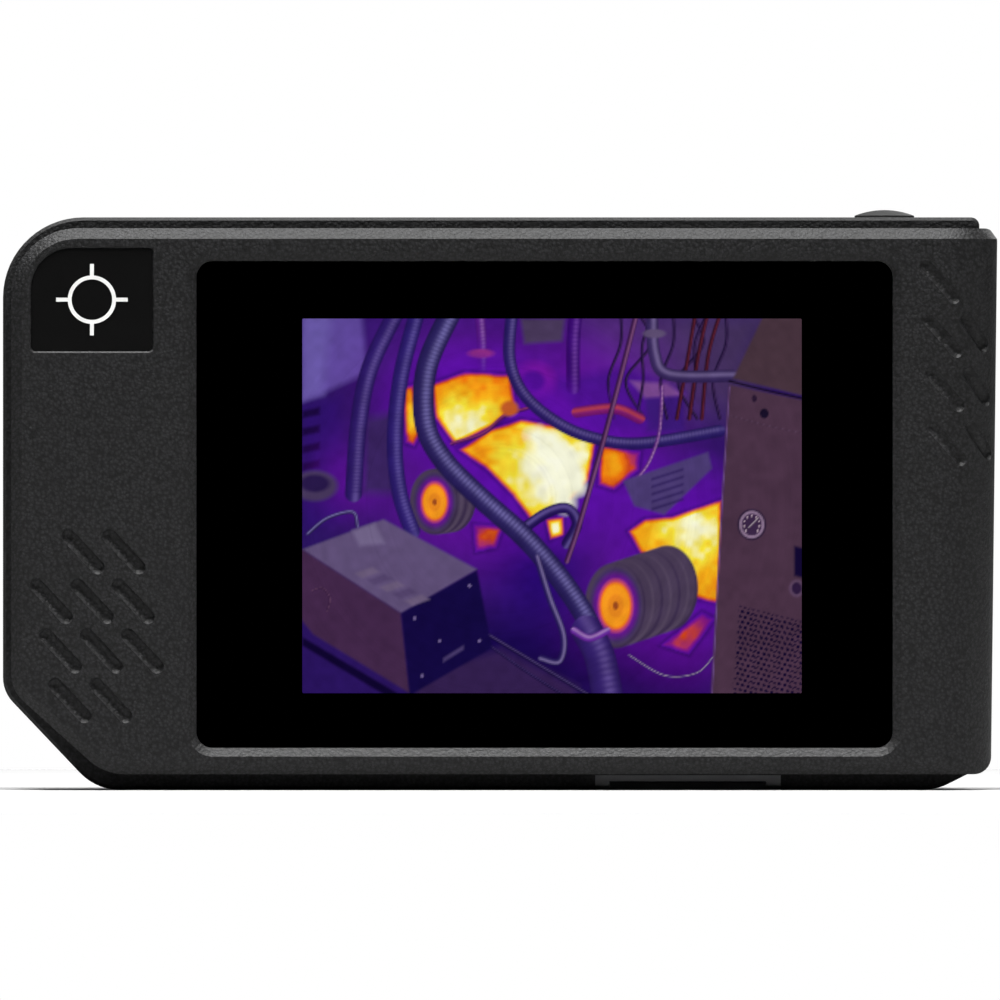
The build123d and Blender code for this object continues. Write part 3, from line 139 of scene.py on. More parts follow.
def new_material(name):
    """Material with an empty principled surface: returns material, tree and surface node."""
    material = bpy.data.materials.new(name)
    material.use_nodes = True
    tree = material.node_tree
    return material, tree, tree.nodes["Principled BSDF"]


def object_place(tree):
    return add_node(tree, "ShaderNodeTexCoord").outputs["Object"]


def varied_colour(tree, place, size, dark, light, detail=3.0):
    """Slow cloudy change between two colours, so that no surface is one flat tone."""
    noise = add_node(tree, "ShaderNodeTexNoise",
                     {"Vector": place, "Scale": 1 / size, "Detail": detail})
    return add_node(tree, "ShaderNodeMix",
                    {"Factor": noise.outputs["Fac"], 6: srgb(dark), 7: srgb(light)},
                    data_type="RGBA").outputs[2]


def grained_plastic(name, dark, light, roughness, size, depth):
    """Moulded leather grain: small rounded pebbles that scatter the light into soft specks, with
    painted shade between the pebbles and a painted highlight on their tops.
    """
    material, tree, surface = new_material(name)
    place = object_place(tree)
    warp = add_node(tree, "ShaderNodeTexNoise",
                    {"Vector": place, "Scale": 0.6 / size, "Detail": 2.0})
    bent = add_node(tree, "ShaderNodeMix",
                    {"Factor": GRAIN_WARP, 4: place, 5: warp.outputs["Color"]},
                    data_type="VECTOR").outputs[1]
    pebbles = add_node(tree, "ShaderNodeTexVoronoi",
                       {"Vector": bent, "Scale": 1 / size, "Smoothness": 0.35}, feature="SMOOTH_F1")
    fine = add_node(tree, "ShaderNodeTexNoise",
                    {"Vector": place, "Scale": GRAIN_FINE / size, "Detail": 3.0})
    height = add_node(tree, "ShaderNodeMath", {0: pebbles.outputs["Distance"], 1: -1.0},
                      operation="MULTIPLY").outputs[0]
    height = add_node(tree, "ShaderNodeMath",
                      {0: fine.outputs["Fac"], 1: GRAIN_FINE_SHARE, 2: height},
                      operation="MULTIPLY_ADD").outputs[0]
    bump = add_node(tree, "ShaderNodeBump", {"Height": height, "Distance": depth, "Strength": 1.0})
    tree.links.new(bump.outputs["Normal"], surface.inputs["Normal"])
    colour = varied_colour(tree, place, size * GRAIN_CLOUD, dark, light)
    # Painted shade and highlight: the colour is darkened in the hollows between the pebbles and
    # lightened on their tops.
    painted_shade_and_highlight = add_node(tree, "ShaderNodeMapRange", {"Value": height, "From Min": -0.3, "From Max": 0.35,
                   "To Min": GRAIN_PAINTED_SHADE, "To Max": GRAIN_PAINTED_HIGHLIGHT}).outputs[0]
    shaded = add_node(tree, "ShaderNodeMix", {"Factor": 1.0, 6: colour, 7: painted_shade_and_highlight},
                      data_type="RGBA", blend_type="MULTIPLY").outputs[2]
    tree.links.new(shaded, surface.inputs["Base Color"])
    surface.inputs["Roughness"].default_value = roughness
    surface.inputs["Specular IOR Level"].default_value = GRAIN_MIRROR
    return material


def fine_finish(name, dark, light, roughness, grit, depth, metallic=0.0, stretch=(1, 1, 1),
                mirror=0.5):
    """Even finish with a fine grit or, when stretched, brush lines, and a slow change of tone."""
    material, tree, surface = new_material(name)
    place = object_place(tree)
    drawn = add_node(tree, "ShaderNodeMapping", {"Vector": place, "Scale": stretch}).outputs[0]
    noise = add_node(tree, "ShaderNodeTexNoise",
                     {"Vector": drawn, "Scale": 1 / grit, "Detail": 4.0})
    bump = add_node(tree, "ShaderNodeBump", {"Height": noise.outputs["Fac"], "Distance": depth})
    tree.links.new(bump.outputs["Normal"], surface.inputs["Normal"])
    tree.links.new(varied_colour(tree, drawn, grit * 10, dark, light), surface.inputs["Base Color"])
    wear = add_node(tree, "ShaderNodeMapRange", {"Value": noise.outputs["Fac"],
                    "To Min": roughness * 0.85, "To Max": min(1.0, roughness * 1.15)})
    tree.links.new(wear.outputs[0], surface.inputs["Roughness"])
    surface.inputs["Metallic"].default_value = metallic
    surface.inputs["Specular IOR Level"].default_value = mirror
    return material


def clear_glass(name, tint, roughness, mirror=0.5):
    """Polished glass: what lies behind it shows through; a low mirror is a bloomed surface."""
    material, _, surface = new_material(name)
    surface.inputs["Base Color"].default_value = srgb(tint)
    surface.inputs["Roughness"].default_value = roughness
    surface.inputs["Transmission Weight"].default_value = 1.0
    surface.inputs["IOR"].default_value = 1.5
    surface.inputs["Specular IOR Level"].default_value = mirror
    return material


def clear_adhesive():
    """Cured optical adhesive between glass and panel: it can't be seen at all."""
    material, _, surface = new_material("cured_optical_adhesive")
    surface.inputs["Base Color"].default_value = srgb("000000")
    surface.inputs["Alpha"].default_value = 0.02
    surface.inputs["Specular IOR Level"].default_value = 0.0
    return material


def infrared_lens():
    """Coated chalcogenide lens: nearly opaque, dark, with a warm to violet coating sheen."""
    material, tree, surface = new_material("coated_infrared_lens")
    facing = add_node(tree, "ShaderNodeLayerWeight", {"Blend": 0.35}).outputs["Facing"]
    ramp = add_node(tree, "ShaderNodeMix", {"Factor": facing, 6: srgb("3a2018"), 7: srgb("4a3a78")},
                    data_type="RGBA").outputs[2]
    tree.links.new(ramp, surface.inputs["Base Color"])
    surface.inputs["Roughness"].default_value = 0.06
    surface.inputs["Metallic"].default_value = 0.6
    surface.inputs["Coat Weight"].default_value = 1.0
    return material


def circuit_board():
    """Glass-epoxy board under green solder mask, with a faint grid of copper tracks."""
    material, tree, surface = new_material("solder_mask_on_glass_epoxy")
    place = object_place(tree)
    tracks = add_node(tree, "ShaderNodeTexBrick", {
        "Vector": add_node(tree, "ShaderNodeMapping", {"Vector": place,
                           "Rotation": (math.pi / 2, 0, 0)}).outputs[0],
        "Scale": 1 / (3.2 * MM), "Color1": srgb("0f4a24"), "Color2": srgb("0c3f20"),
        "Mortar": srgb("1d6b38"), "Mortar Size": 0.03})
    tree.links.new(tracks.outputs["Color"], surface.inputs["Base Color"])
    surface.inputs["Roughness"].default_value = 0.35
    return material


# ---------------------------------------------------------------- the lit picture
class Painter:
    """Paints soft shapes on a grid of points. The picture is 4 units wide and 3 high."""

    def __init__(self, x, y):
        self.x = x
        self.y = y
        self.points = np.stack([x, y], axis=1)
        self.colour = np.zeros((len(x), 3))

    def blend(self, mask, colour):
        """Mixes in a colour (or one colour a point) where mask is 1."""
        if isinstance(colour, str):
            colour = np.array(srgb(colour)[:3])
        mask = np.clip(mask, 0, 1)[:, None]
        self.colour = self.colour * (1 - mask) + colour * mask

    def noise(self, size, seed):
        """Smooth random values from 0 to 1 with features of the given size."""
        rng = np.random.default_rng(seed)
        columns, rows = int(4 / size) + 3, int(3 / size) + 3
        grid = rng.random((rows, columns))
        gx, gy = self.x / size, self.y / size
        ix, iy = gx.astype(int), gy.astype(int)
        fx, fy = gx - ix, gy - iy
        fx, fy = fx * fx * (3 - 2 * fx), fy * fy * (3 - 2 * fy)
        low = grid[iy, ix] * (1 - fx) + grid[iy, ix + 1] * fx
        high = grid[iy + 1, ix] * (1 - fx) + grid[iy + 1, ix + 1] * fx
        return low * (1 - fy) + high * fy

    def to_line(self, points):
        """Distance from each grid point to a line of points, and how far along it that is."""
        best = np.full(len(self.x), 9.0)
        along = np.zeros(len(self.x))
        side = np.zeros(len(self.x))
        done = 0.0
        for start, stop in zip(points, points[1:]):
            run = np.subtract(stop, start)
            length = math.hypot(*run)
            rel = self.points - start
            share = np.clip(rel @ run / length ** 2, 0, 1)
            gap = rel - share[:, None] * run
            distance = np.hypot(gap[:, 0], gap[:, 1])
            nearer = distance < best
            best = np.where(nearer, distance, best)
            along = np.where(nearer, done + share * length, along)
            side = np.where(nearer, (run[0] * gap[:, 1] - run[1] * gap[:, 0]) / length, side)
            done += length
        return best, along, side

    def inside(self, corners, soft=0.02):
        """Mask of a polygon whose edge fades over soft."""
        odd = np.zeros(len(self.x), bool)
        for (x0, y0), (x1, y1) in zip(corners, corners[1:] + corners[:1]):
            crosses = (y0 > self.y) != (y1 > self.y)
            odd ^= crosses & (self.x < (x1 - x0) * (self.y - y0) / (y1 - y0 + 1e-9) + x0)
        distance = self.to_line(corners + corners[:1])[0]
        return np.clip(0.5 + np.where(odd, distance, -distance) / (2 * soft), 0, 1)

    def polygon(self, corners, colour, soft=0.012):
        self.blend(self.inside(corners, soft), colour)

    def spot(self, x, y, rx, ry, colour, soft=0.15, strength=1.0):
        """Ellipse whose edge fades over a share of its size."""
        reach = np.hypot((self.x - x) / rx, (self.y - y) / ry)
        self.blend(strength * np.clip((1 + soft / 2 - reach) / soft, 0, 1), colour)

    def glow(self, x, y, r, colour, strength):
        self.blend(strength * np.exp(-((self.x - x) ** 2 + (self.y - y) ** 2) / r ** 2), colour)

    def tube(self, points, radius, dark, light, ribs=0.0):
        """Round hose along a smooth line, lit from its upper side, with ribs if it has a pitch."""
        distance, along, side = self.to_line(smooth_line(points))
        across = np.clip(side / radius, -1, 1)
        shine = np.exp(-((across - 0.25) ** 2) / 0.12)
        if ribs:
            shine = shine * (0.75 + 0.25 * np.sin(along * 2 * math.pi / ribs))
        dark, light = np.array(srgb(dark)[:3]), np.array(srgb(light)[:3])
        edge = np.sqrt(np.clip(1 - across ** 2, 0, 1))[:, None] * 0.7 + 0.3
        colour = (dark + (light - dark) * shine[:, None]) * edge
        self.blend((radius - distance) / 0.012, colour)

    def hot(self, corners, middle, reach, peak, seed):
        """Warm metal: hottest at the middle, cooling towards its edges through the heat scale."""
        depth = self.to_line(corners + corners[:1])[0] * self.inside(corners, 0.001)
        core = np.exp(-((self.x - middle[0]) ** 2 + (self.y - middle[1]) ** 2) / reach ** 2)
        level = peak * (0.66 + 0.34 * core) * np.clip(depth / 0.05, 0, 1) ** 0.45
        level = level + 0.14 * (self.noise(0.12, seed) - 0.5)
        level = level + 0.1 * (self.noise(0.05, seed + 1) - 0.5)
        self.blend(self.inside(corners, 0.03), heat_colour(level))


HEAT_SCALE = (
    (0.0, "1c0a4a"), (0.2, "5a0f9c"), (0.36, "8a1c80"), (0.5, "c8401e"), (0.64, "ee7a10"),
    (0.78, "f8b41c"), (0.9, "f8e43c"), (1.0, "fbf8c8"), (1.15, "fdfdf4"),
)


def heat_colour(level):
    """Colour of the heat scale, from deep violet through orange and yellow to white."""
    stops = [stop for stop, _ in HEAT_SCALE]
    colours = np.array([srgb(code)[:3] for _, code in HEAT_SCALE])
    return np.stack([np.interp(level, stops, colours[:, k]) for k in range(3)], axis=1)


def smooth_line(points, steps=7):
    """Catmull-Rom curve through a few points."""
    p = np.array([points[0], *points, points[-1]], float)
    line = []
    for a, b, c, d in zip(p, p[1:], p[2:], p[3:]):
        for t in np.linspace(0, 1, steps, endpoint=False):
            line.append(0.5 * (2 * b + (c - a) * t + (2 * a - 5 * b + 4 * c - d) * t ** 2
                               + (3 * b - a - 3 * c + d) * t ** 3))
    line.append(p[-1])
    return [tuple(point) for point in line]


def paint_room(art):
    """Cool background: walls, floor and the violet haze round the warm machines."""
    art.blend(np.ones(len(art.x)), "2b1560")
    art.polygon([(0, 3.1), (0.48, 3.1), (0.53, 2.57), (0, 2.33)], "5f4a9b", 0.03)
    art.polygon([(0, 3.1), (0.24, 3.1), (0.16, 2.4), (0, 2.36)], "6a5aa8", 0.05)
    art.polygon([(0.48, 3.1), (1.5, 3.1), (1.4, 2.6), (0.53, 2.57)], "33186a", 0.05)
    art.polygon([(2.2, 3.1), (3.8, 3.1), (3.5, 2.2), (2.4, 2.3)], "44325c", 0.2)
    art.polygon([(0, 2.3), (0.3, 2.36), (0.36, 1.4), (0, 1.3)], "2a1268", 0.05)
    for k in range(4):
        art.polygon([(0, 2.26 - k * 0.14), (0.14, 2.29 - k * 0.14),
                     (0.14, 2.23 - k * 0.14), (0, 2.2 - k * 0.14)], "140838", 0.015)
    art.polygon([(1.4, 0.6), (3.3, 0.7), (3.3, -0.1), (0.9, -0.1)], "150948", 0.2)
    art.polygon([(0.9, 0.15), (1.6, 0.36), (2.2, 0.05), (2.2, -0.1), (0.9, -0.1)], "33204e", 0.05)
    for x, y, r, strength in ((1.25, 2.3, 0.62, 0.8), (2.0, 1.95, 0.8, 0.75), (3.0, 1.2, 0.5, 0.7),
                              (2.6, 0.75, 0.45, 0.6), (1.1, 1.45, 0.4, 0.6), (0.4, 1.7, 0.28, 0.6),
                              (2.4, 2.4, 0.5, 0.7), (1.55, 1.25, 0.35, 0.5), (3.1, 0.45, 0.4, 0.6)):
        art.glow(x, y, r, "6a12a8", strength)
    art.glow(1.9, 0.95, 0.4, "1a0470", 0.7)


def paint_back_plant(art):
    """Manifold, cables and a cool pump behind the warm machines."""
    art.polygon([(2.0, 2.5), (2.6, 2.62), (3.05, 2.4), (2.95, 2.1), (2.3, 2.1)], "4a148c", 0.05)
    art.polygon([(2.63, 2.5), (2.92, 2.48), (3.06, 2.38), (2.75, 2.36)], "7c4a92", 0.02)
    art.polygon([(2.75, 2.36), (3.06, 2.38), (3.06, 2.1), (2.76, 2.1)], "3c1a78", 0.02)
    art.spot(1.85, 2.5, 0.17, 0.15, "7a169a", 0.5)
    art.spot(1.85, 2.5, 0.09, 0.08, "3a0c70", 0.5)
    art.polygon([(1.75, 3.0), (2.1, 3.0), (2.08, 2.82), (1.78, 2.8)], "4a3a5c", 0.02)
    for k in range(7):
        x = 2.55 + 0.14 * k
        bend = 0.12 * math.sin(k * 2.1)
        art.tube([(x, 3.05), (x + bend, 2.8), (x - 0.1, 2.5), (x - 0.05 + bend, 2.2)], 0.018,
                 "140a30", "3a2450")
    for k in range(3):
        art.tube([(3.35 - 0.1 * k, 3.05), (3.25 - 0.08 * k, 2.7), (3.2 - 0.1 * k, 2.2)], 0.022,
                 "301020", "5a2030")
    art.tube([(1.42, 3.05), (1.44, 2.78), (1.44, 2.5)], 0.045, "5a1a88", "8a58a8", 0.03)
    art.spot(1.43, 2.72, 0.1, 0.035, "a83a60", 0.6)
    art.tube([(2.19, 3.05), (2.17, 2.8), (2.17, 2.45)], 0.06, "3c0c74", "6a3a9a", 0.035)
    art.tube([(2.8, 3.05), (2.82, 2.72), (2.94, 2.55), (3.44, 2.54)], 0.055, "38285c", "6c5c8c")
    art.spot(2.82, 2.88, 0.09, 0.035, "5c4c70", 0.4)


def paint_machines(art):
    """The warm machines, which fill the middle of the picture, each in a violet glow."""
    for x, y, rx, ry in ((1.35, 2.3, 0.6, 0.42), (1.95, 1.8, 0.75, 0.55), (3.1, 1.15, 0.5, 0.6)):
        art.spot(x, y, rx, ry, "5c10a8", 0.8)
    art.polygon([(0.5, 2.2), (0.76, 2.25), (0.78, 1.6), (0.48, 1.6)], "3a2460", 0.05)
    art.hot([(0.8, 2.46), (0.9, 2.48), (0.97, 2.1), (0.9, 1.97), (0.82, 2.0)],
            (0.86, 2.2), 0.2, 0.8, 11)
    art.hot([(1.02, 2.48), (1.3, 2.58), (1.68, 2.56), (1.72, 2.28), (1.55, 2.14), (1.22, 1.98),
             (1.06, 2.2)], (1.27, 2.16), 0.3, 0.98, 21)
    art.hot([(1.24, 1.95), (1.5, 2.12), (1.75, 2.2), (2.1, 2.14), (2.36, 2.02), (2.3, 1.7),
             (2.14, 1.52), (1.84, 1.36), (1.68, 1.58), (1.48, 1.78)], (2.02, 1.8), 0.42, 1.06, 31)
    art.hot([(2.38, 2.0), (2.72, 1.94), (2.7, 1.78), (2.5, 1.62), (2.36, 1.66)],
            (2.46, 1.82), 0.16, 0.72, 41)
    art.hot([(1.94, 1.4), (2.1, 1.42), (2.1, 1.26), (1.98, 1.22)], (2.03, 1.33), 0.09, 1.0, 43)
    art.hot([(2.6, 1.3), (2.74, 1.4), (2.96, 1.42), (3.37, 1.56), (3.37, 0.7), (3.12, 0.76),
             (2.9, 1.0), (2.7, 1.12)], (3.12, 1.34), 0.4, 0.98, 51)
    flame = art.noise(0.08, 61)
    for x0, y0, x1, y1, width in ((1.86, 2.06, 2.1, 1.52, 0.09), (2.0, 2.02, 2.2, 1.66, 0.08)):
        bend = ((x0 + x1) / 2 + 0.05, (y0 + y1) / 2)
        distance = art.to_line(smooth_line([(x0, y0), bend, (x1, y1)]))[0]
        art.blend(np.clip(1.5 - distance / width - 0.5 * flame, 0, 1), "fbfbe0")
    art.tube([(1.2, 2.0), (1.45, 2.08), (1.62, 2.22), (1.8, 2.28)], 0.022, "4a1460", "8a3468")
    art.spot(1.66, 2.28, 0.07, 0.06, "c05a28", 0.5)
    art.tube([(2.2, 2.25), (2.5, 2.28), (2.7, 2.2)], 0.05, "7a1a70", "b03c50")
    art.tube([(1.75, 1.3), (1.95, 1.44), (2.12, 1.48), (2.2, 1.36), (2.12, 1.2)], 0.05,
             "241458", "5c4c90")
    art.hot([(2.86, 0.38), (3.2, 0.66), (3.32, 0.6), (3.1, 0.3)], (3.1, 0.5), 0.16, 0.52, 71)
    art.hot([(1.36, 1.36), (1.62, 1.34), (1.56, 1.16), (1.38, 1.12)], (1.5, 1.25), 0.12, 0.5, 73)


def paint_drum(art, x, y, rx, ry, length, rise, ribs):
    """Ribbed wheel seen from its end, with a warm hub that glows into the rim."""
    for k in range(ribs, -1, -1):
        share = k / ribs
        tone = ("3c2e4c", "54465e")[k % 2]
        art.spot(x + length * share, y + rise * share, rx, ry, tone, 0.06)
        art.spot(x + length * share - 0.012, y + rise * share + 0.01, rx * 0.97, ry * 0.97,
                 "4a3c56", 0.08)
    art.spot(x, y, rx * 0.8, ry * 0.82, "38186e", 0.3)
    art.spot(x, y, rx * 0.68, ry * 0.7, "7a1c9c", 0.4)
    art.spot(x, y, rx * 0.56, ry * 0.6, "e85a18", 0.25)
    art.spot(x, y, rx * 0.48, ry * 0.52, "f89a20", 0.2)
    art.spot(x, y, rx * 0.26, ry * 0.28, "e88820", 0.3)
    art.spot(x, y, rx * 0.09, ry * 0.1, "9c4a20", 0.5)


def paint_hoses(art):
    """Ribbed hoses that hang in front of the machines."""
    art.tube([(0.75, 3.05), (0.54, 2.6), (0.45, 2.15), (0.41, 1.6)], 0.075,
             "2e1a68", "5c4a90", 0.03)
    art.tube([(0.92, 3.05), (0.79, 2.54), (0.74, 2.02), (0.78, 1.6), (0.88, 1.3)], 0.07,
             "2c1c6c", "5a4c96", 0.03)
    art.tube([(1.68, 3.05), (1.66, 2.68), (1.77, 2.4), (2.02, 2.18), (2.31, 2.05), (2.7, 2.0),
              (3.34, 2.1)], 0.055, "2a1c64", "5e5090", 0.028)
    art.tube([(1.19, 3.05), (1.0, 2.62), (0.98, 2.18), (1.12, 1.88), (1.41, 1.58), (1.78, 1.25),
              (2.04, 0.95), (2.24, 0.66), (2.34, 0.46)], 0.092, "2a205c", "6e66a4", 0.034)
    art.tube([(2.68, 3.05), (2.46, 2.2), (2.23, 1.39), (2.12, 1.06)], 0.028, "3a1848", "7a4a78")
    art.tube([(1.88, 1.08), (1.98, 0.76), (2.09, 0.46), (2.06, 0.26), (1.92, 0.28)], 0.032,
             "281a5c", "786a9c")
    art.tube([(2.88, 2.45), (2.86, 2.1), (2.78, 1.86), (2.68, 1.72)], 0.02,
             "5a2480", "a878b0", 0.04)
    art.tube([(2.28, 0.5), (2.38, 0.3), (2.44, 0.0)], 0.13, "34206c", "5e4a90", 0.05)
    art.tube([(2.18, 0.5), (2.3, 0.44), (2.44, 0.5)], 0.035, "6a2aa0", "a078b8")
    art.tube([(1.5, 0.46), (1.85, 0.25), (2.3, -0.02)], 0.02, "0c0534", "4c3c70")
    art.tube([(1.5, 0.38), (1.8, 0.17), (2.1, -0.02)], 0.016, "0c0534", "3c2c60")
    art.tube([(2.62, 0.3), (2.9, 0.14), (3.16, 0.16), (3.3, 0.3)], 0.014, "3a1c70", "9a88a0")
    art.polygon([(2.57, 1.7), (3.25, 1.93), (3.28, 1.8), (2.9, 1.43), (2.66, 1.5)], "4c3c74")
    for k in range(5):
        y = 1.82 - 0.06 * k
        art.polygon([(2.8, y - 0.1), (3.05, y - 0.02), (3.05, y - 0.035), (2.8, y - 0.115)],
                    "2c1c58")


def paint_box(art):
    """Plain equipment box in the lower left corner."""
    art.polygon([(0.0, 1.15), (0.65, 1.39), (1.4, 0.99), (0.79, 0.64)], "605078")
    art.polygon([(-0.1, 1.16), (0.0, 1.15), (0.79, 0.64), (0.86, 0.0), (0.09, 0.47), (-0.1, 0.7)],
                "43284a")
    art.polygon([(0.79, 0.64), (1.4, 0.99), (1.52, 0.36), (0.86, -0.02)], "140a42")
    art.polygon([(0.4, 1.3), (0.58, 1.36), (0.66, 1.2), (0.46, 1.18)], "74668c", 0.02)
    for k in range(5):
        x, y = 0.42 + 0.1 * k, 0.96 - 0.055 * k
        art.polygon([(x, y), (x + 0.14, y + 0.05), (x + 0.2, y + 0.01), (x + 0.06, y - 0.04)],
                    ("6c5c7c", "54446c")[k % 2])
    art.tube([(0.08, 0.82), (0.16, 0.84), (0.22, 0.76), (0.2, 0.66)], 0.012, "30183a", "60405c")
    art.polygon([(1.13, 0.28), (1.29, 0.38), (1.29, 0.35), (1.13, 0.25)], "4a3c6c")
    for x, y in ((0.9, 0.6), (1.34, 0.86), (0.96, 0.14), (1.42, 0.42), (1.1, 0.42)):
        art.spot(x, y, 0.014, 0.014, "6c5c8c", 0.4)
    art.spot(0.1, 1.66, 0.18, 0.12, "4a3a60", 0.3)
    art.spot(0.1, 1.68, 0.12, 0.07, "2a1a4c", 0.4)
    art.tube([(0.05, 1.28), (0.2, 1.4), (0.4, 1.45), (0.44, 1.34)], 0.02, "2a2050", "7068a0")
    art.polygon([(0.0, 0.45), (0.85, -0.05), (0.8, -0.1), (0.0, 0.38)], "100630")


def paint_cabinet(art):
    """Tall cabinet on the right, with a round gauge, a knob and a perforated vent."""
    art.polygon([(3.42, 2.47), (4.1, 2.33), (4.1, -0.1), (3.27, -0.1), (3.36, 1.49)], "4b3347")
    art.polygon([(3.73, 3.1), (4.1, 3.1), (4.1, 2.36), (3.45, 2.52)], "48343f")
    art.tube([(3.42, 2.5), (3.7, 2.43), (4.1, 2.34)], 0.014, "0c0514", "1c1024")
    art.tube([(3.44, 2.22), (3.7, 2.15), (4.1, 2.06)], 0.008, "38243a", "604860")
    art.tube([(3.42, 2.45), (3.38, 1.8), (3.36, 1.49), (3.28, -0.05)], 0.012, "5a3a68", "70508c")
    art.spot(3.7, 2.24, 0.035, 0.04, "181028", 0.3)
    art.spot(3.62, 2.36, 0.02, 0.03, "281830", 0.4)
    art.spot(3.6, 1.35, 0.115, 0.125, "2c1c38", 0.1)
    art.spot(3.6, 1.35, 0.1, 0.11, "8c7490", 0.1)
    art.spot(3.6, 1.35, 0.08, 0.088, "3c2848", 0.1)
    for k in range(9):
        angle = math.radians(-45 + k * 33.75)
        art.spot(3.6 + 0.064 * math.cos(angle), 1.35 + 0.07 * math.sin(angle), 0.008, 0.008,
                 "b8a0b0", 0.5)
    art.tube([(3.58, 1.33), (3.65, 1.4)], 0.008, "c0a8b8", "d8c8d0")
    art.polygon([(3.94, 1.18), (4.1, 1.14), (4.1, 0.9), (3.94, 0.94)], "140a34")
    art.spot(3.96, 0.84, 0.06, 0.07, "5c4460", 0.3)
    art.spot(3.96, 0.84, 0.04, 0.048, "2c1a3c", 0.3)
    vent = art.inside([(3.5, 0.7), (4.1, 0.55), (4.1, -0.1), (3.44, -0.1)], 0.01)
    pitch = 0.042
    row = np.floor(art.y / pitch)
    cx = np.mod(art.x + row * pitch / 2, pitch) / pitch - 0.5
    cy = np.mod(art.y + art.x * 0.25, pitch) / pitch - 0.5
    art.blend(vent * np.clip((0.36 - np.hypot(cx, cy)) / 0.08, 0, 1), "12082c")


def paint_picture(x, y):
    """Linear colours of the whole picture at each grid point."""
    art = Painter(x, y)
    paint_room(art)
    paint_back_plant(art)
    paint_machines(art)
    paint_drum(art, 1.06, 1.53, 0.19, 0.26, 0.14, 0.02, 4)
    paint_drum(art, 2.51, 0.7, 0.24, 0.34, 0.42, 0.14, 6)
    paint_hoses(art)
    paint_box(art)
    paint_cabinet(art)
    art.colour *= (0.86 + 0.28 * (0.6 * art.noise(0.06, 81) + 0.4 * art.noise(0.2, 83)))[:, None]
    return art.colour


# ---------------------------------------------------------------- pieces
PICTURE_WIDE = 70.2 * MM
PICTURE_HIGH = 52.65 * MM
PANEL_RIM = 2.4 * MM      # from the panel's upper edge to the picture
ABOVE_PANEL = 0.02 * MM


def picture_mesh(columns, rows, glow):
    """Grid in front of the panel that carries the picture as a colour at each point."""
    low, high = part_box("display_panel")
    middle = Vector(((low.x + high.x) / 2, low.y - ABOVE_PANEL,
                     high.z - PANEL_RIM - PICTURE_HIGH / 2))
    bm = bmesh.new()
    bmesh.ops.create_grid(bm, x_segments=columns, y_segments=rows, size=0.5)
    for vertex in bm.verts:
        x, y, _ = vertex.co
        vertex.co = Vector((x * PICTURE_WIDE, 0, y * PICTURE_HIGH)) + middle
    mesh = bpy.data.meshes.new("lit_picture")
    bm.to_mesh(mesh)
    bm.free()
    places = np.empty(len(mesh.vertices) * 3, np.float32)
    mesh.vertices.foreach_get("co", places)
    places = places.reshape(-1, 3)
    across = (places[:, 0] - (middle.x - PICTURE_WIDE / 2)) / PICTURE_WIDE * 4
    up = (places[:, 2] - (middle.z - PICTURE_HIGH / 2)) / PICTURE_HIGH * 3
    colours = np.ones((len(places), 4), np.float32)
    colours[:, :3] = np.clip(paint_picture(across.astype(float), up.astype(float)), 0, 1)
    mesh.color_attributes.new("picture", "FLOAT_COLOR", "POINT").data.foreach_set(
        "color", colours.ravel())
    material, tree, surface = new_material("lit_display_picture")
    stored = add_node(tree, "ShaderNodeAttribute", attribute_name="picture").outputs["Color"]
    surface.inputs["Base Color"].default_value = srgb("000000")
    surface.inputs["Specular IOR Level"].default_value = 0.0
    tree.links.new(stored, surface.inputs["Emission Color"])
    surface.inputs["Emission Strength"].default_value = glow
    mesh.materials.append(material)
    piece = bpy.data.objects.new("lit_picture", mesh)
    bpy.context.scene.collection.objects.link(piece)
    return piece


def dress(material, *nodes):
    """Gives CAD nodes a material in every slot."""
    for name in nodes:
        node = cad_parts[name]
        if not node.material_slots:
            node.data.materials.append(material)
        for material_slot in node.material_slots:
            material_slot.material = material


class CASE_OT_casing(bpy.types.Operator):
    """Moulded shells, with the soft leather grain that gives grip"""
    bl_idname = "thermal.casing"
    bl_label = "Casing"

    def execute(self, context):
        look = context.scene.thermal_surface
        # The front shell's pebbled grain scatters the light into fine grey specks, helped by
        # painted shade between the pebbles and a painted highlight on their tops.
        dress(grained_plastic("pebble_grained_abs_front", "0d0d0e", "141415", 0.52,
                              look.grain_size, look.grain_depth), "front_cover")
        dress(grained_plastic("pebble_grained_abs_rear", "0b0b0c", "101011", 0.6,
                              look.grain_size, look.grain_depth), "rear_cover")
        dress(grained_plastic("grained_soft_grip", "1c1c1d", "232324", 0.72,
                              look.grain_size * 0.8, look.grain_depth), "rear_grip")
        # Moulded rubber is dull, with a dusty bloom.
        dress(fine_finish("moulded_black_rubber", "0c0c0c", "151515", 0.8, 0.5 * MM, 0.02 * MM),
              "shell_seal", "screw_plugs", "port_flap")
        # Partly the frame's own grey and partly painted highlight: the grey is made lighter so that
        # the frame shows as a lit edge line under the shell.
        dress(fine_finish("satin_grey_abs_with_painted_highlight", "565658", "626264", 0.45, 0.4 * MM, 0.02 * MM),
              "port_frame")
        return {"FINISHED"}


class CASE_OT_window(bpy.types.Operator):
    """Cover glass, its black print and the parts of the display behind it"""
    bl_idname = "thermal.window"
    bl_label = "Window and display"

    def execute(self, context):
        settings = context.scene.thermal_screen
        # Strengthened glass with an anti-reflection bloom: smooth, clear and nearly mirror-free.
        dress(clear_glass("bloomed_cover_glass", "ffffff", 0.0, mirror=0.03), "touch_glass")
        dress(fine_finish("black_screen_print", "000000", "020202", 0.5, 0.4 * MM, 0.001 * MM,
                          mirror=0.0), "glass_border")
        dress(clear_adhesive(), "optical_bond")
        dress(fine_finish("dark_display_glass", "050507", "0b0b10", 0.12, 0.5 * MM, 0.001 * MM,
                          mirror=0.1), "display_panel")
        dress(fine_finish("white_diffuser_film", "d8d8d4", "f0f0ec", 0.4, 0.4 * MM, 0.005 * MM),
              "backlight")
        piece = picture_mesh(settings.columns, settings.rows, settings.brightness)
        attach(piece, BODY)
        return {"FINISHED"}


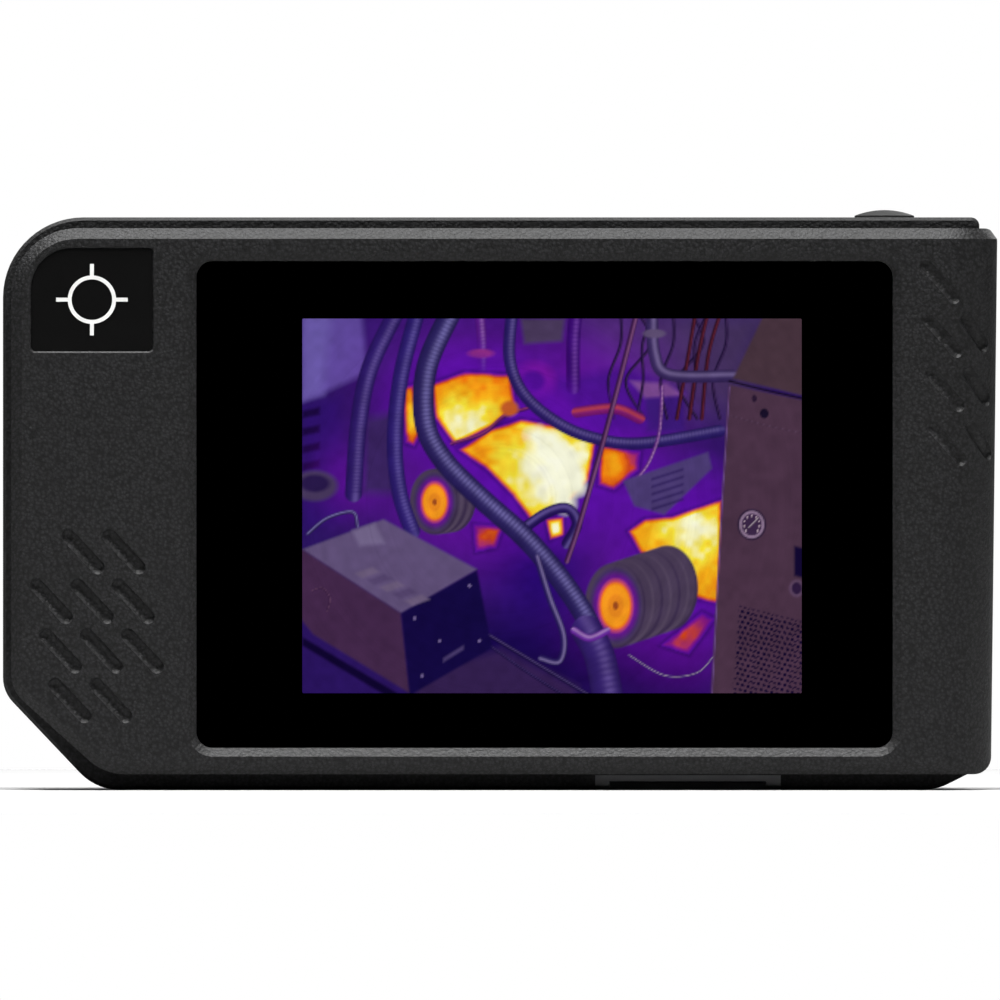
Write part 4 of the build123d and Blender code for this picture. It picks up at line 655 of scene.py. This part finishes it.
class CASE_OT_badge(bpy.types.Operator):
    """Smooth badge plate with its plain printed mark"""
    bl_idname = "thermal.badge"
    bl_label = "Badge"

    def execute(self, context):
        # Lacquered plastic is smooth, so it shows darker than the grain round it.
        dress(fine_finish("lacquered_black_badge", "050505", "090909", 0.35, 0.6 * MM, 0.003 * MM,
                          mirror=0.16), "badge_plate")
        dress(fine_finish("white_pad_print", "d4d4d2", "f2f2f0", 0.5, 0.2 * MM, 0.003 * MM),
              "badge_mark")
        return {"FINISHED"}


class CASE_OT_controls(bpy.types.Operator):
    """Shutter button, its collar and the switch under it"""
    bl_idname = "thermal.controls"
    bl_label = "Shutter button"

    def execute(self, context):
        # Satin moulded plastic: fine spark-eroded texture with a soft highlight on the dome.
        dress(fine_finish("spark_eroded_black_cap", "121212", "1a1a1a", 0.6, 0.35 * MM, 0.02 * MM),
              "shutter_button")
        dress(fine_finish("spark_eroded_black_collar", "161616", "1e1e1e", 0.5, 0.35 * MM,
                          0.02 * MM), "button_collar")
        dress(fine_finish("moulded_black_nylon", "141414", "1c1c1c", 0.55, 0.4 * MM, 0.015 * MM),
              "tact_switch", "switch_plunger", "display_connector", "sensor_connector",
              "battery_plug", "lens_mount", "camera_module")
        return {"FINISHED"}


class CASE_OT_lens(bpy.types.Operator):
    """Lens bezel, barrel, infrared lenses and the small camera's window"""
    bl_idname = "thermal.lens"
    bl_label = "Lens group"

    def execute(self, context):
        dress(fine_finish("satin_black_bezel", "141415", "1b1b1c", 0.42, 0.4 * MM, 0.015 * MM),
              "lens_bezel")
        # Black anodised aluminium: a soft metal glow with fine turning marks.
        dress(fine_finish("black_anodised_aluminium", "1a1a1c", "29292c", 0.36, 0.3 * MM,
                          0.01 * MM, metallic=0.85, stretch=(1, 8, 1)),
              "lens_barrel", "lens_ring", "lens_spacer")
        dress(infrared_lens(), "thermal_lens", "rear_lens", "sensor_window")
        dress(clear_glass("camera_window_glass", "b8bcc4", 0.0), "camera_window")
        return {"FINISHED"}


class CASE_OT_metalwork(bpy.types.Operator):
    """Screws, springs, pressed and cast metal pieces"""
    bl_idname = "thermal.metalwork"
    bl_label = "Metalwork"

    def execute(self, context):
        # Rolled steel sheet: cool and bright, with long faint rolling lines.
        dress(fine_finish("rolled_nickel_plated_steel", "9a9a9c", "b8b8ba", 0.3, 0.3 * MM,
                          0.004 * MM, metallic=1.0, stretch=(1, 1, 6)),
              "display_tray", "usb_receptacle", "shield_can", "radio_module", "flap_pin",
              "button_clip", "button_spring")
        dress(fine_finish("black_zinc_screws", "3a3a3c", "545456", 0.38, 0.2 * MM, 0.006 * MM,
                          metallic=1.0), "case_screws", "board_screws", "mount_screws")
        dress(fine_finish("die_cast_magnesium", "8c8e90", "a4a6a8", 0.5, 0.5 * MM, 0.02 * MM,
                          metallic=1.0), "mid_frame", "calibration_blade", "shutter_actuator")
        dress(fine_finish("turned_brass", "a87c32", "c49a4c", 0.28, 0.2 * MM, 0.008 * MM,
                          metallic=1.0, stretch=(1, 1, 8)), "tripod_insert")
        return {"FINISHED"}


class CASE_OT_electronics(bpy.types.Operator):
    """Boards, chips, ribbon, battery and foam"""
    bl_idname = "thermal.electronics"
    bl_label = "Electronics"

    def execute(self, context):
        dress(circuit_board(), "main_board", "switch_board", "sensor_board", "battery_board")
        dress(fine_finish("moulded_epoxy_chip", "16161a", "202024", 0.5, 0.2 * MM, 0.006 * MM),
              "processor", "memory_chips")
        dress(fine_finish("fired_alumina_package", "a89e90", "beb4a4", 0.45, 0.3 * MM, 0.006 * MM),
              "thermal_sensor")
        dress(fine_finish("amber_polyimide_film", "a8641c", "c07a28", 0.3, 0.6 * MM, 0.003 * MM),
              "display_ribbon", "antenna")
        dress(fine_finish("aluminised_pouch_film", "8c9096", "a4a8ae", 0.35, 0.9 * MM, 0.03 * MM,
                          metallic=0.4), "battery_cell")
        dress(fine_finish("closed_cell_foam", "1a1a1a", "2c2c2c", 0.95, 0.5 * MM, 0.08 * MM),
              "display_foam", "battery_pad")
        return {"FINISHED"}


# ---------------------------------------------------------------- floor, lights and camera
FLOOR_HALF = 0.3          # a small floor, so that the glass doesn't mirror it in the front view
KEY_PLACE = (-0.05, -0.2, 0.88)     # the light overhead picks out the bevels
SIDE_PLACE = (1.0, -0.1, 0.12)      # its partner at the left end is weaker
LEFT_SHARE = 1 / 4
BEHIND_PLACE = (0.4, 0.9, 0.45)
FILL_PLACE = (-0.5, -0.9, 0.5)
DOME_START = 0.12         # the dome is dark below this height, where the glass would mirror it
DOME_TOP = 0.45
SENSOR = 36.0             # camera sensor width in millimetres
VIEW_WIDE = 140.5 * MM    # width that the view takes in at the face
VIEW_HEIGHT = 40.8 * MM   # height of the view's middle above the floor


def area_light(name, place, target, size, power):
    light = bpy.data.lights.new(name, "AREA")
    light.shape = "RECTANGLE"
    light.size, light.size_y = size
    light.energy = power
    lamp = bpy.data.objects.new(name, light)
    lamp.location = place
    lamp.rotation_euler = (Vector(target) - Vector(place)).to_track_quat("-Z", "Y").to_euler()
    bpy.context.scene.collection.objects.link(lamp)


def studio_world(scene):
    """White to the eye, and for lighting a soft dome that is brightest overhead."""
    world = bpy.data.worlds.new("studio")
    world.use_nodes = True
    tree = world.node_tree
    background = tree.nodes["Background"]
    sky = add_node(tree, "ShaderNodeTexCoord").outputs["Generated"]
    up = add_node(tree, "ShaderNodeSeparateXYZ", {"Vector": sky}).outputs["Z"]
    dome = add_node(tree, "ShaderNodeMapRange", {"Value": up, "From Min": DOME_START,
                    "From Max": 1.0, "To Min": 0.0, "To Max": DOME_TOP}).outputs[0]
    seen = add_node(tree, "ShaderNodeLightPath").outputs["Is Camera Ray"]
    strength = add_node(tree, "ShaderNodeMix", {"Factor": seen, 2: dome, 3: 1.0}).outputs[0]
    tree.links.new(strength, background.inputs["Strength"])
    background.inputs["Color"].default_value = srgb("ffffff")
    scene.world = world


class CASE_OT_stage(bpy.types.Operator):
    """Pale floor, soft studio light and the camera"""
    bl_idname = "thermal.stage"
    bl_label = "Stage"

    def execute(self, context):
        settings = context.scene.thermal_stage
        scene = context.scene
        scene.view_settings.view_transform = "Standard"
        bm = bmesh.new()
        bmesh.ops.create_grid(bm, x_segments=1, y_segments=1, size=FLOOR_HALF)
        mesh = bpy.data.meshes.new("floor")
        bm.to_mesh(mesh)
        bm.free()
        floor = bpy.data.objects.new("floor", mesh)
        scene.collection.objects.link(floor)
        paper = fine_finish("matt_pale_paper", "a8a8a8", "b0b0b0", 0.9, 2.0 * MM, 0.01 * MM)
        tree = paper.node_tree
        # Seen from below the floor is clear, so that the underside and the open flap show.
        below = add_node(tree, "ShaderNodeNewGeometry").outputs["Backfacing"]
        above = add_node(tree, "ShaderNodeMath", {0: 1.0, 1: below}, operation="SUBTRACT")
        tree.links.new(above.outputs[0], tree.nodes["Principled BSDF"].inputs["Alpha"])
        mesh.materials.append(paper)
        floor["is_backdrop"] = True
        studio_world(scene)
        low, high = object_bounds()
        middle = (low + high) / 2
        area_light("key", KEY_PLACE, middle, (0.7, 0.25), settings.key_power)
        area_light("right_side", SIDE_PLACE, middle, (0.3, 0.3), settings.side_power)
        area_light("left_side", (-SIDE_PLACE[0], *SIDE_PLACE[1:]), middle, (0.3, 0.3),
                   settings.side_power * LEFT_SHARE)
        area_light("behind", BEHIND_PLACE, middle, (0.4, 0.4), settings.back_power)
        area_light("fill", FILL_PLACE, middle, (0.4, 0.4), settings.fill_power)
        lens = bpy.data.cameras.new("camera")
        lens.sensor_width = SENSOR
        lens.lens = SENSOR * settings.camera_distance / VIEW_WIDE
        camera = bpy.data.objects.new("camera", lens)
        camera.location = (middle.x, low.y - settings.camera_distance, VIEW_HEIGHT)
        camera.rotation_euler = (math.pi / 2, 0, 0)
        scene.collection.objects.link(camera)
        scene.camera = camera
        return {"FINISHED"}


class CASE_PT_panel(bpy.types.Panel):
    """Sidebar panel that lists the steps"""
    bl_idname = "CASE_PT_panel"
    bl_label = "Thermal Camera"
    bl_space_type = "VIEW_3D"
    bl_region_type = "UI"
    bl_category = "Thermal Camera"

    def draw(self, context):
        for operator in OPERATORS:
            self.layout.operator(operator.bl_idname)


OPERATORS = (CASE_OT_casing, CASE_OT_window, CASE_OT_badge, CASE_OT_controls, CASE_OT_lens,
             CASE_OT_metalwork, CASE_OT_electronics, CASE_OT_stage)
SETTINGS = (SurfaceSettings, ScreenSettings, StageSettings)


def register():
    for cls in SETTINGS + OPERATORS + (CASE_PT_panel,):
        bpy.utils.register_class(cls)
    bpy.types.Scene.thermal_surface = bpy.props.PointerProperty(type=SurfaceSettings)
    bpy.types.Scene.thermal_screen = bpy.props.PointerProperty(type=ScreenSettings)
    bpy.types.Scene.thermal_stage = bpy.props.PointerProperty(type=StageSettings)


def unregister():
    del bpy.types.Scene.thermal_surface
    del bpy.types.Scene.thermal_screen
    del bpy.types.Scene.thermal_stage
    for cls in reversed(SETTINGS + OPERATORS + (CASE_PT_panel,)):
        bpy.utils.unregister_class(cls)


def main():
    register()
    for operator in OPERATORS:
        group, step = operator.bl_idname.split(".")
        getattr(getattr(bpy.ops, group), step)()


if __name__ == "__main__":
    main()
